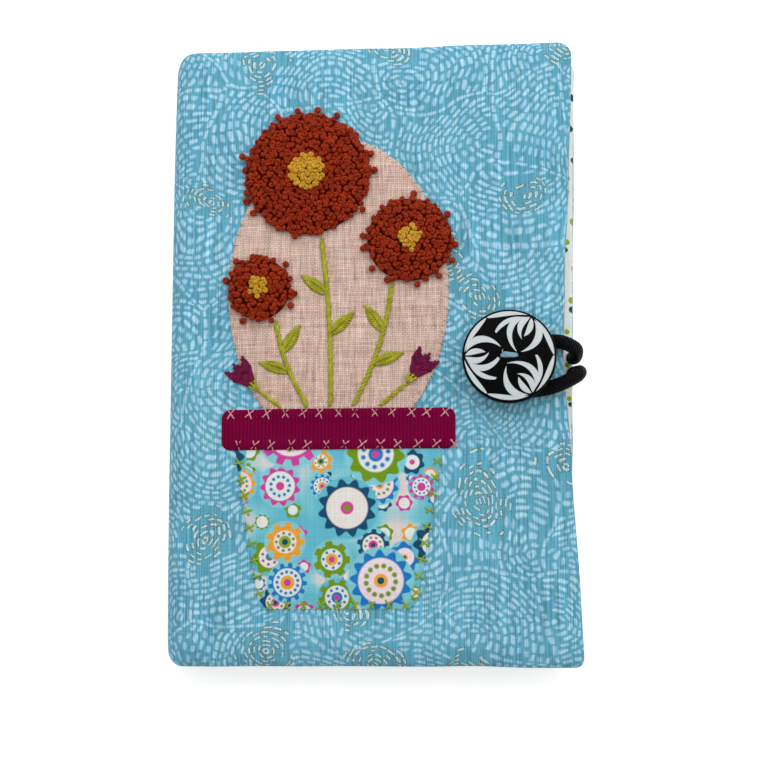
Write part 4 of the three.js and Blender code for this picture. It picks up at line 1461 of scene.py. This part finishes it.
rimCut = {
    "cornerSteps": 5,
    "cells": (300, 12),
    "edge": 0.8,
    "walePower": 0.7,           # below one the ridges are broad and the grooves narrow
    "waleEdge": 0.6,            # they fade this close to the edge
    "sharp": 60,
}


def wales(x, y, d):
    ridge = abs(math.sin(math.pi * x / rim["pitch"])) ** rimCut["walePower"]
    return rim["wale"] * ridge * min(d / rimCut["waleEdge"], 1.0)


def makeRim():
    planes = []
    corner = rim["corner"]
    middleY = (rimTop + rimFoot) / 2
    halfTall = (rimTop - rimFoot) / 2
    for turn in (0, 90, 180, 270):
        centreX = motifX + (rim["half"] - corner) * (1 if turn in (0, 270) else -1)
        centreY = middleY + (halfTall - corner) * (1 if turn in (0, 90) else -1)
        planes.extend(arcPlanes(centreX, centreY, corner, corner, turn, turn + 90, rimCut["cornerSteps"]))
    box = (motifX - rim["half"], motifX + rim["half"], rimFoot, rimTop)
    bm = patchMesh(planes, box, rimCut["cells"], rim["thickness"], rimCut["edge"], wales)
    carriers.append(BVHTree.FromBMesh(bm))
    piece = finishPiece(bm, "corduroy_rim", finishes["corduroy"], "front_cover", ["pot_rim"],
                        rimCut["sharp"])


makeLinenPatch()
makePrintPatch()
makeRim()
print("patches laid")


stitch = {
    "sides": 4, "steps": 6, "turns": 1.1, "arch": 0.45, "sink": 0.55,
    "ply": 0.3, "twistAside": 0.24, "twistUp": 0.2,     # radius of a ply, and of its turns
}
knot = {"coil": 0.42, "thread": 0.44, "turns": 1.7, "rise": 0.6, "sides": 5, "steps": 11}


# One stitch of two plies, one long and one thick, its ends dipping under
def stitchTemplate():
    bm = bmesh.new()
    for ply in (0.0, math.pi):
        verts = bmesh.ops.create_circle(bm, segments=stitch["sides"], radius=stitch["ply"])["verts"]
        bmesh.ops.rotate(bm, verts=verts, cent=(0, 0, 0), matrix=Matrix.Rotation(math.pi / 2, 3, "Y"))
        edges = ringEdges(verts)
        first = edges
        here = Vector((0.0, 0.0, 0.0))
        for step in range(stitch["steps"] + 1):
            t = step / stitch["steps"]
            angle = ply + 2 * math.pi * stitch["turns"] * t
            arch = stitch["arch"] - (stitch["arch"] + stitch["sink"]) * (2 * t - 1) ** 4
            up = arch + stitch["twistUp"] * math.sin(angle)
            there = Vector((t - 0.5, stitch["twistAside"] * math.cos(angle), up))
            if step:
                verts, edges = extrudeRing(bm, edges)
            bmesh.ops.translate(bm, vec=there - here, verts=verts)
            here = there
        bmesh.ops.edgeloop_fill(bm, edges=first)
        bmesh.ops.edgeloop_fill(bm, edges=edges)
    faceOut(bm)
    return meshFrom(bm, "stitchTemplate")


# A thread wound nearly twice round, as a French knot sits on the cloth
def knotTemplate():
    bm = bmesh.new()
    verts = bmesh.ops.create_circle(bm, segments=knot["sides"], radius=knot["thread"])["verts"]
    bmesh.ops.rotate(bm, verts=verts, cent=(0, 0, 0), matrix=Matrix.Rotation(math.pi / 2, 3, "X"))
    bmesh.ops.translate(bm, vec=(knot["coil"], 0.0, knot["thread"]), verts=verts)
    bmesh.ops.spin(bm, geom=verts + ringEdges(verts), cent=(0, 0, 0), axis=(0, 0, 1),
                   dvec=(0, 0, knot["rise"] / knot["steps"]), angle=2 * math.pi * knot["turns"],
                   steps=knot["steps"], use_merge=False, use_duplicate=False)
    bmesh.ops.holes_fill(bm, edges=[edge for edge in bm.edges if edge.is_boundary], sides=8)
    faceOut(bm)
    return meshFrom(bm, "knotTemplate")


stitchMesh = stitchTemplate()
knotMesh = knotTemplate()


# Adds a template to a mesh at a place and puts it back
def addCopy(bm, template, matrix):
    template.transform(matrix)
    bm.from_mesh(template)
    template.transform(matrix.inverted())


def addStitch(bm, start, end, thick, lift=0.0):
    middle = (start + end) / 2
    along = end - start
    length = max(along.length, 0.1)
    along.normalize()
    aside = Vector((0.0, 0.0, 1.0)).cross(along).normalized()
    turn = Matrix((along, aside, along.cross(aside))).transposed().to_4x4()
    size = Matrix.Diagonal((length, thick, thick, 1.0))
    addCopy(bm, stitchMesh, Matrix.Translation(middle + Vector((0.0, 0.0, lift))) @ turn @ size)


def onCover(x, y):
    return Vector((x, y, surfaceAt(x, y)))


# A stitch on the cover from one flat place to another
def sew(bm, a, b, thick, lift=0.0):
    addStitch(bm, onCover(a.x, a.y), onCover(b.x, b.y), thick, lift)


def addKnot(bm, place, size, dice, tilt):
    lean = Matrix.Rotation(dice.uniform(-tilt, tilt), 4, "X")
    lean = lean @ Matrix.Rotation(dice.uniform(-tilt, tilt), 4, "Y")
    spin = Matrix.Rotation(dice.uniform(0, 2 * math.pi), 4, "Z")
    addCopy(bm, knotMesh, Matrix.Translation(place) @ lean @ spin @ Matrix.Scale(size, 4))


# x and root from the motif's middle, y from the rim, leaves as shares of the stem
blooms = [
    {"name": "large", "radius": 18.0, "x": -8.5, "y": 65.0, "heart": 5.2,
     "root": -2.0, "lean": 2.0, "leaves": (0.42, 0.66)},
    {"name": "medium", "radius": 12.5, "x": 19.5, "y": 46.0, "heart": 3.8,
     "root": 4.0, "lean": 4.0, "leaves": (0.34, 0.6)},
    {"name": "small", "radius": 9.5, "x": -21.5, "y": 33.0, "heart": 3.0,
     "root": -8.0, "lean": -3.0, "leaves": (0.62, 0.4)},
]
bloomForm = {
    "dome": 1.55,
    "domePower": 2.6,
    "underlay": (1.0, 0.92, 0.8, 0.6, 0.35, 0.0),       # points of its profile, in radii
    "underlayIn": 1.0,          # it ends this far inside the bloom
    "pitch": 1.36,              # from knot to knot
    "jitter": 0.26,
    "edge": 0.75,               # knots end this far inside
    "lap": 0.9,                 # and begin this far under the heart
    "size": (0.88, 1.16),
    "uneven": (-0.15, 0.35),
    "strayPitch": 6.0,          # between places for a knot past the edge
    "stray": 0.7,               # share of them taken
    "strayOut": (0.1, 0.6),
    "straySize": (1.05, 1.25),
    "heartPitch": 1.26,
    "heartJitter": 0.16,
    "heartUp": 0.35,
    "heartDome": 0.75,
    "heartSize": (0.9, 1.08),
}


# Places inside a circle on a jittered honeycomb
def scattered(radius, pitch, jitter, dice):
    spots = []
    rows = int(radius / pitch) + 2
    for row in range(-rows, rows + 1):
        for column in range(-rows, rows + 1):
            x = (column + 0.5 * (row % 2)) * pitch + dice.uniform(-jitter, jitter)
            y = row * pitch * 0.87 + dice.uniform(-jitter, jitter)
            if math.hypot(x, y) < radius:
                spots.append((x, y))
    return spots


def makeBloom(bloom, seed):
    dice = random.Random(seed)
    name, radius = bloom["name"], bloom["radius"]
    x0, y0 = motifX + bloom["x"], rimTop + bloom["y"]
    ground = max(surfaceAt(x0 + a, y0 + b) for a in (-6, 0, 6) for b in (-6, 0, 6))

    def dome(reach):
        return bloomForm["dome"] * (1 - min(reach / radius, 1.0) ** bloomForm["domePower"])

    # painted shade: a dome of darker rust thread under the knots, to darken the gaps between them
    bm = bmesh.new()
    inner = radius - bloomForm["underlayIn"]
    profile = [(inner - 0.2, -0.5)]
    profile += [(share * inner, 0.1 + dome(share * radius)) for share in bloomForm["underlay"]]
    latheProfile(bm, profile, 40)
    bmesh.ops.translate(bm, vec=(x0, y0, ground), verts=bm.verts)
    finishPiece(bm, "bloom_shade_underlay_" + name, finishes["rustShadeUnder"], "front_cover")
    bm = bmesh.new()
    count = 0
    for x, y in scattered(radius - bloomForm["edge"], bloomForm["pitch"], bloomForm["jitter"], dice):
        reach = math.hypot(x, y)
        if reach < bloom["heart"] - bloomForm["lap"]:
            continue
        lean = min(reach / radius, 1.0) ** 3 * 0.5
        place = Vector((x0 + x, y0 + y, 0.0))
        base = surfaceAt(place.x, place.y) if reach > radius - 2.2 else ground
        place.z = base + dome(reach) + dice.uniform(*bloomForm["uneven"])
        addKnot(bm, place, dice.uniform(*bloomForm["size"]), dice, 0.5 + lean * 0.3)
        count += 1
    strays = int(2 * math.pi * radius / bloomForm["strayPitch"])
    for index in range(strays):
        if dice.random() > bloomForm["stray"]:
            continue
        angle = 2 * math.pi * (index + dice.uniform(-0.3, 0.3)) / strays
        reach = radius + dice.uniform(*bloomForm["strayOut"])
        x, y = x0 + reach * math.cos(angle), y0 + reach * math.sin(angle)
        addKnot(bm, onCover(x, y), dice.uniform(*bloomForm["straySize"]), dice, 0.3)
        count += 1
    finishPiece(bm, "bloom_knots_" + name, finishes["rust"], "front_cover", ["bloom_" + name])
    bm = bmesh.new()
    top = ground + bloomForm["dome"] + bloomForm["heartUp"]
    for x, y in scattered(bloom["heart"] - 0.5, bloomForm["heartPitch"], bloomForm["heartJitter"], dice):
        high = bloomForm["heartDome"] * (1 - (math.hypot(x, y) / bloom["heart"]) ** 2)
        addKnot(bm, Vector((x0 + x, y0 + y, top + high)), dice.uniform(*bloomForm["heartSize"]), dice, 0.4)
        count += 1
    finishPiece(bm, "bloom_middle_" + name, finishes["yellow"], "front_cover",
                ["bloom_heart_" + name])
    print("bloom", name, "has", count, "knots")


stemForm = {"pitch": 2.3, "lap": (0.35, 1.45), "aside": 0.34, "thick": 1.15, "budThick": 1.0}
leafForm = {"long": 9.0, "wide": 3.4, "turn": 0.85, "pitch": 0.72, "slant": 0.2, "thick": 0.72, "lift": 0.08}


# Stem stitch: each stitch overlaps its neighbours and lies a little across the line
def addStem(bm, route, thick, dice):
    length = sum((b - a).length for a, b in zip(route, route[1:]))
    count = max(int(length / stemForm["pitch"]), 2)
    last = len(route) - 1
    lapBack, lapOn = stemForm["lap"]
    for index in range(count):
        begin = route[int(last * max(index - lapBack, 0) / count)]
        end = route[int(last * min(index + lapOn, count) / count)]
        aside = Vector((begin.y - end.y, end.x - begin.x)).normalized() * (stemForm["aside"] * thick)
        sew(bm, begin + aside, end - aside, thick * dice.uniform(0.94, 1.06))


# Fishbone stitch: slanting stitches from the midrib out to both sides
def addLeaf(bm, at, angle, dice):
    ahead = Vector((math.cos(angle), math.sin(angle)))
    aside = Vector((-ahead.y, ahead.x))
    steps = int(leafForm["long"] / leafForm["pitch"])
    for index in range(steps):
        t = (index + 0.2) / steps
        s = min(t + leafForm["slant"], 1.0)
        half = 2 * s * (1 - s) * leafForm["wide"]
        for side in (-1, 1):
            a = at + ahead * (t * leafForm["long"] * 0.97) - aside * (side * 0.12)
            b = at + ahead * (s * leafForm["long"]) + aside * (side * max(half, 0.1))
            sew(bm, a, b, leafForm["thick"] * dice.uniform(0.92, 1.08), leafForm["lift"])


def stemCurve(root, tipX, tipY, lean):
    begin = Vector((motifX + root, rimTop + 0.3))
    end = Vector((motifX + tipX, rimTop + tipY))
    bend = (begin + end) / 2 + Vector((lean, 0.0))
    return begin, bend, end


def makeSprig(bloom, seed):
    dice = random.Random(seed)
    middle = Vector((bloom["x"], bloom["y"]))
    foot = Vector((bloom["root"] + bloom["lean"], bloom["y"] * 0.4))
    tip = middle - (middle - foot).normalized() * (bloom["radius"] + 0.2)
    curve = stemCurve(bloom["root"], tip.x, tip.y, bloom["lean"])
    route = [bezierPoint(*curve, step / 60) for step in range(61)]
    bm = bmesh.new()
    addStem(bm, route, stemForm["thick"], dice)
    for side, share in zip((-1, 1), bloom["leaves"]):
        at = bezierPoint(*curve, share)
        ahead = bezierPoint(*curve, share + 0.01) - at
        addLeaf(bm, at, math.atan2(ahead.y, ahead.x) + side * leafForm["turn"], dice)
    finishPiece(bm, "sprig_stitches_" + bloom["name"], finishes["green"], "front_cover",
                ["sprig_" + bloom["name"]])


buds = [
    {"name": "left", "x": -22.0, "y": 5.5, "root": -15.0, "turn": 0.75},
    {"name": "right", "x": 19.0, "y": 7.0, "root": 11.0, "turn": -0.65},
]
budForm = {"long": 9.0, "wide": 6.0, "threads": 11, "thick": 0.8, "tooth": 0.46}
calyx = {"leans": (-0.55, 0.0, 0.55), "wide": 2.4, "long": 2.6, "thick": 0.85, "lift": 0.75}


def makeBud(bud, seed):
    dice = random.Random(seed)
    curve = stemCurve(bud["root"], bud["x"], bud["y"], 0.0)
    bm = bmesh.new()
    addStem(bm, [bezierPoint(*curve, step / 40) for step in range(41)], stemForm["budThick"], dice)
    base = Vector((motifX + bud["x"], rimTop + bud["y"]))
    turn = Matrix.Rotation(bud["turn"], 2)
    for lean in calyx["leans"]:
        a = base + turn @ Vector((0.0, -0.4))
        b = base + turn @ Vector((calyx["wide"] * math.sin(lean), calyx["long"] * math.cos(lean)))
        sew(bm, a, b, calyx["thick"], calyx["lift"])
    finishPiece(bm, "bud_stem_stitches_" + bud["name"], finishes["green"], "front_cover",
                ["bud_stem_" + bud["name"]])
    bm = bmesh.new()
    for index in range(budForm["threads"]):
        share = 2 * index / (budForm["threads"] - 1) - 1
        teeth = abs(abs(share) - budForm["tooth"])
        tall = budForm["long"] * (0.8 + 0.5 * min(teeth, budForm["tooth"]))
        for part, (low, high) in enumerate(((0.03, 0.62), (0.5, 1.0))):
            spreadLow = share * budForm["wide"] * 0.5 * math.sin(math.pi * 0.5 * min(low * 1.8, 1.0))
            spreadHigh = share * budForm["wide"] * 0.52
            a = base + turn @ Vector((spreadLow, 0.7 + low * tall))
            b = base + turn @ Vector((spreadHigh, 0.7 + high * tall * 0.98))
            lift = 0.25 * (1 - abs(share)) + 0.1 * part
            sew(bm, a, b, budForm["thick"] * dice.uniform(0.95, 1.05), lift)
    finishPiece(bm, "bud_stitches_" + bud["name"], finishes["wine"], "front_cover",
                ["bud_" + bud["name"]])


for index, bloom in enumerate(blooms):
    makeBloom(bloom, 20 + index)
    makeSprig(bloom, 40 + index)
for index, bud in enumerate(buds):
    makeBud(bud, 60 + index)


rimHem = {"inset": 2.4, "pitch": 4.7, "stray": 0.4, "edge": 1.2, "stagger": 1.8, "size": 3.5, "thick": 0.48}
potHem = {"count": 9, "low": 2.5, "tall": 39.0, "inset": 3.0, "edge": 0.9, "size": 3.4, "thick": 0.6}
ovalHem = {"count": 64, "begin": -46, "sweep": 272, "out": 0.55, "thick": 0.5, "lift": 0.02}


# Crosses and slant stitches hold the patches down
def addCross(bm, x, y, size, angle, thick, dice):
    for turn in (0.55, -0.75):
        way = angle + turn + dice.uniform(-0.2, 0.2)
        reach = size * dice.uniform(0.42, 0.56)
        ahead = Vector((math.cos(way), math.sin(way))) * reach
        sew(bm, Vector((x, y)) - ahead, Vector((x, y)) + ahead, thick, 0.05)


def makeRimStitches(dice):
    bm = bmesh.new()
    span = 2 * (rim["half"] - rimHem["inset"])
    count = int(span / rimHem["pitch"])
    for index in range(count + 1):
        x = motifX - span / 2 + index * span / count
        for shift, y in ((0.0, rimTop - rimHem["edge"]), (rimHem["stagger"], rimFoot + rimHem["edge"])):
            there = x + shift + dice.uniform(-rimHem["stray"], rimHem["stray"])
            addCross(bm, there, y, rimHem["size"], math.pi / 2, rimHem["thick"], dice)
    finishPiece(bm, "rim_stitches", finishes["pink"], "front_cover")


def makePotStitches(dice):
    bm = bmesh.new()
    count, size, thick = potHem["count"], potHem["size"], potHem["thick"]
    for side in (-1, 1):
        for index in range(count):
            rise = potHem["low"] + (index + 0.4) / count * potHem["tall"]
            x = motifX + side * (pot["footHalf"] + potSlope * rise - potHem["edge"])
            addCross(bm, x, pot["foot"] + rise, size, 0.2 * side, thick, dice)
    half = pot["footHalf"] - potHem["inset"]
    for index in range(count):
        x = motifX - half + index * 2 * half / (count - 1)
        addCross(bm, x, pot["foot"] + potHem["edge"], size, math.pi / 2, thick, dice)
    finishPiece(bm, "pot_stitches", finishes["lime"], "front_cover")


def makeOvalStitches(dice):
    bm = bmesh.new()
    middle = Vector((oval["x"], oval["y"]))
    for index in range(ovalHem["count"]):
        angle = math.radians(ovalHem["begin"] + ovalHem["sweep"] * index / (ovalHem["count"] - 1))
        point = middle + Vector((oval["halfWide"] * math.cos(angle), oval["halfTall"] * math.sin(angle)))
        if point.y < rimTop + 0.8:
            continue
        out = Vector((math.cos(angle) / oval["halfWide"], math.sin(angle) / oval["halfTall"])).normalized()
        slant = Vector((-out.y, out.x)) * dice.uniform(0.2, 0.7)
        inner = point - out * dice.uniform(1.1, 1.7) + slant
        sew(bm, point + out * ovalHem["out"], inner, ovalHem["thick"], ovalHem["lift"])
    finishPiece(bm, "oval_stitches", finishes["flax"], "front_cover")


hemDice = random.Random(5)
makeRimStitches(hemDice)
makePotStitches(hemDice)
makeOvalStitches(hemDice)
print("embroidery worked")


button = {
    "foot": 19.4, "edge": 3.2, "crown": 0.9, "round": 0.8,
    "hole": 2.0, "spacing": 4.2, "drill": 12.0, "soften": 0.25,
    "steps": 96, "roundSteps": 6, "crownSteps": 12,
    "softenFrom": 60, "sharp": 50,      # degrees
}


def makeButton():
    foot, radius, curve = button["foot"], buttonPlace["radius"], button["round"]
    shoulder = foot + button["edge"]
    profile = [(0.0, foot + 0.25), (radius * 0.6, foot + 0.1), (radius - 2 * curve, foot)]      # hollow back
    for begin, level in ((-math.pi / 2, foot + curve), (0.0, shoulder - curve)):
        for step in range(button["roundSteps"] + 1):
            angle = begin + math.pi / 2 * step / button["roundSteps"]
            profile.append((radius - curve + curve * math.cos(angle), level + curve * math.sin(angle)))
    for step in range(button["crownSteps"]):
        share = 1 - (step + 1) / button["crownSteps"]
        profile.append((share * (radius - curve), shoulder + button["crown"] * (1 - share ** 2)))
    bm = bmesh.new()
    latheProfile(bm, profile, button["steps"])
    bmesh.ops.translate(bm, vec=(buttonPlace["x"], buttonPlace["y"], 0.0), verts=bm.verts)
    piece = finishPiece(bm, "button_disc", finishes["horn"])
    bm = bmesh.new()
    for side in (-1, 1):
        made = bmesh.ops.create_cone(bm, cap_ends=True, segments=36, radius1=button["hole"] / 2,
                                     radius2=button["hole"] / 2, depth=button["drill"])
        place = (buttonPlace["x"] + side * button["spacing"] / 2, buttonPlace["y"], foot + 2.0)
        bmesh.ops.translate(bm, vec=place, verts=made["verts"])
    drill = finishPiece(bm, "buttonDrill", finishes["horn"])
    cut = piece.modifiers.new("holes", "BOOLEAN")
    cut.operation = "DIFFERENCE"
    cut.object = drill
    settleModifiers(piece)
    bpy.data.objects.remove(drill)
    soften = piece.modifiers.new("soften", "BEVEL")
    soften.width = button["soften"] * mm
    soften.affect = "EDGES"
    soften.segments = 2
    soften.profile = 0.5
    soften.material = -1
    soften.limit_method = "ANGLE"
    soften.angle_limit = math.radians(button["softenFrom"])
    settleModifiers(piece)
    piece.data.set_sharp_from_angle(angle=math.radians(button["sharp"]))
    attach(piece, "button_body")
    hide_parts("button")


thread = {"strands": 6, "apart": 0.4, "layer": 0.3, "radius": 0.26, "sides": 8}
shank = {"turns": 7, "turnSteps": 16, "reach": 1.25, "radius": 0.36, "core": 1.2, "coreSides": 14}


# Strands from hole to hole over the top, in two layers of three
def makeButtonThread():
    top = button["foot"] + button["edge"] + button["crown"]
    half = button["spacing"] / 2
    bm = bmesh.new()
    dice = random.Random(8)
    for strand in range(thread["strands"]):
        aside = (strand % 3 - 1) * thread["apart"] + dice.uniform(-0.1, 0.1)
        high = top + 0.28 + thread["layer"] * (strand // 3) + dice.uniform(-0.05, 0.1)
        way = [(half + 0.1, button["foot"] + 0.2), (half + 0.05, top - 1.2), (half - 0.15, top - 0.1),
               (half - 0.9, high)]
        points = []
        for dx, z in [(-dx, z) for dx, z in way] + [(0.0, high + 0.08)] + way[::-1]:
            narrow = 1.0 if abs(dx) < half - 0.5 else 0.6
            lean = 0.3 * (strand % 2) * dx / half if z > top else 0.0
            points.append(Vector((buttonPlace["x"] + dx, buttonPlace["y"] + aside * narrow - lean, z)))
        route = smoothRoute(points, 5)
        sweepTube(bm, route, [thread["radius"]] * len(route), thread["sides"])
    faceOut(bm)
    finishPiece(bm, "button_stitches", finishes["blue"], "button_body", ["button_thread"])


# The stem under the button, wound with thread
def makeShank():
    bm = bmesh.new()
    low = surfaceAt(buttonPlace["x"], buttonPlace["y"]) - 0.2
    tall = button["foot"] - 0.15 - low
    foot = Vector((buttonPlace["x"], buttonPlace["y"], low))
    steps = shank["turns"] * shank["turnSteps"]
    points = []
    for step in range(steps + 1):
        share = step / steps
        angle = 2 * math.pi * shank["turns"] * share
        reach = shank["reach"] + 0.08 * math.sin(5 * share)
        up = 0.3 + (tall - 0.5) * share
        points.append(foot + Vector((reach * math.cos(angle), reach * math.sin(angle), up)))
    sweepTube(bm, points, [shank["radius"]] * len(points), thread["sides"])
    core = [foot + Vector((0.0, 0.0, tall * step / 4)) for step in range(5)]
    sweepTube(bm, core, [shank["core"]] * len(core), shank["coreSides"])
    faceOut(bm)
    finishPiece(bm, "shank_windings", finishes["blue"], "front_cover", ["button_shank"])


makeButton()
makeButtonThread()
makeShank()

elastic = {
    "radius": 1.9,
    "sides": 20,
    "relief": 0.05,
    "ribs": 6,              # round it, each way
    "pinched": 0.5,         # share of its thickness left at the ends, sewn into the seam
    "taper": 54,            # steps of the route over which it grows to its full thickness
    "steps": 12,            # between two points of the route
    "bend": ((0.0548, -0.004, 0.0036), (0.0554, -0.004, 0.0062)),       # in metres
    "route": [      # from the back cover's seam over the fore edge, round the shank and back
        (51.0, -1.8, 1.7), (52.6, -1.8, 1.7), (54.1, -1.8, 2.1), (54.95, -1.8, 3.1),
        (55.15, -1.8, 4.3), (55.5, -1.8, 5.1), (55.7, -1.6, 8.3), (55.3, -0.8, 13.4),
        (52.1, 0.2, 17.1), (49.0, 0.6, 17.2), (41.5, 0.9, 17.2), (33.75, -0.78, 17.2), (32.5, -5.2, 17.2),
        (35.0, -9.2, 17.2), (41.1, -12.4, 17.2), (46.9, -12.2, 17.2), (51.5, -10.8, 17.2), (55.3, -8.6, 15.3),
        (56.4, -7.2, 12.6), (56.4, -6.4, 7.7), (55.5, -6.2, 5.1), (55.15, -6.2, 4.3),
        (54.95, -6.2, 3.1), (54.1, -6.2, 2.1), (52.6, -6.2, 1.7), (51.0, -6.2, 1.7),
    ],
}


def makeLoop():
    route = smoothRoute([Vector(point) for point in elastic["route"]], elastic["steps"])
    radii = [elastic["radius"]] * len(route)
    for index in range(elastic["taper"]):
        share = index / elastic["taper"]
        thick = elastic["pinched"] + (1 - elastic["pinched"]) * smoothStep(share)
        radii[index] *= thick
        radii[-1 - index] *= thick
    bm = bmesh.new()
    marks = {}
    sweepTube(bm, route, radii, elastic["sides"], marks)
    lengths = sorted({mark[0] for mark in marks.values()})
    centres = dict(zip(lengths, route))
    for vert, (length, turn) in marks.items():
        around = 2 * math.pi * elastic["ribs"] * turn
        ribs = math.sin(braid["along"] * length + around) + math.sin(braid["along"] * length - around)
        out = vert.co - centres[length]
        vert.co += out.normalized() * (elastic["relief"] * ribs * 0.5)
    markUv(bm, marks, "braid", 2 * math.pi * elastic["radius"])
    faceOut(bm)
    loop = finishPiece(bm, "elastic_cord", finishes["elastic"], stands=["elastic_loop"])
    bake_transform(loop)


makeLoop()

binding = {"count": 9, "half": 66.0, "gap": 1.0, "thick": 0.6, "sink": 0.15}


# Long stitches down the innermost fold
def makeBinding():
    bm = bmesh.new()
    pitch = 2 * binding["half"] / binding["count"]
    for index in range(binding["count"]):
        low = index * pitch - binding["half"] + binding["gap"] / 2
        start = Vector((arcX, low, book["spineRadius"]))
        end = start + Vector((0.0, pitch - binding["gap"], 0.0))
        addStitch(bm, start, end, binding["thick"], -binding["sink"])
    finishPiece(bm, "binding_stitches", finishes["cream"], "spine", ["binding_thread"])


makeBinding()
print("closure and binding made")

for template in (stitchMesh, knotMesh):
    bpy.data.meshes.remove(template)
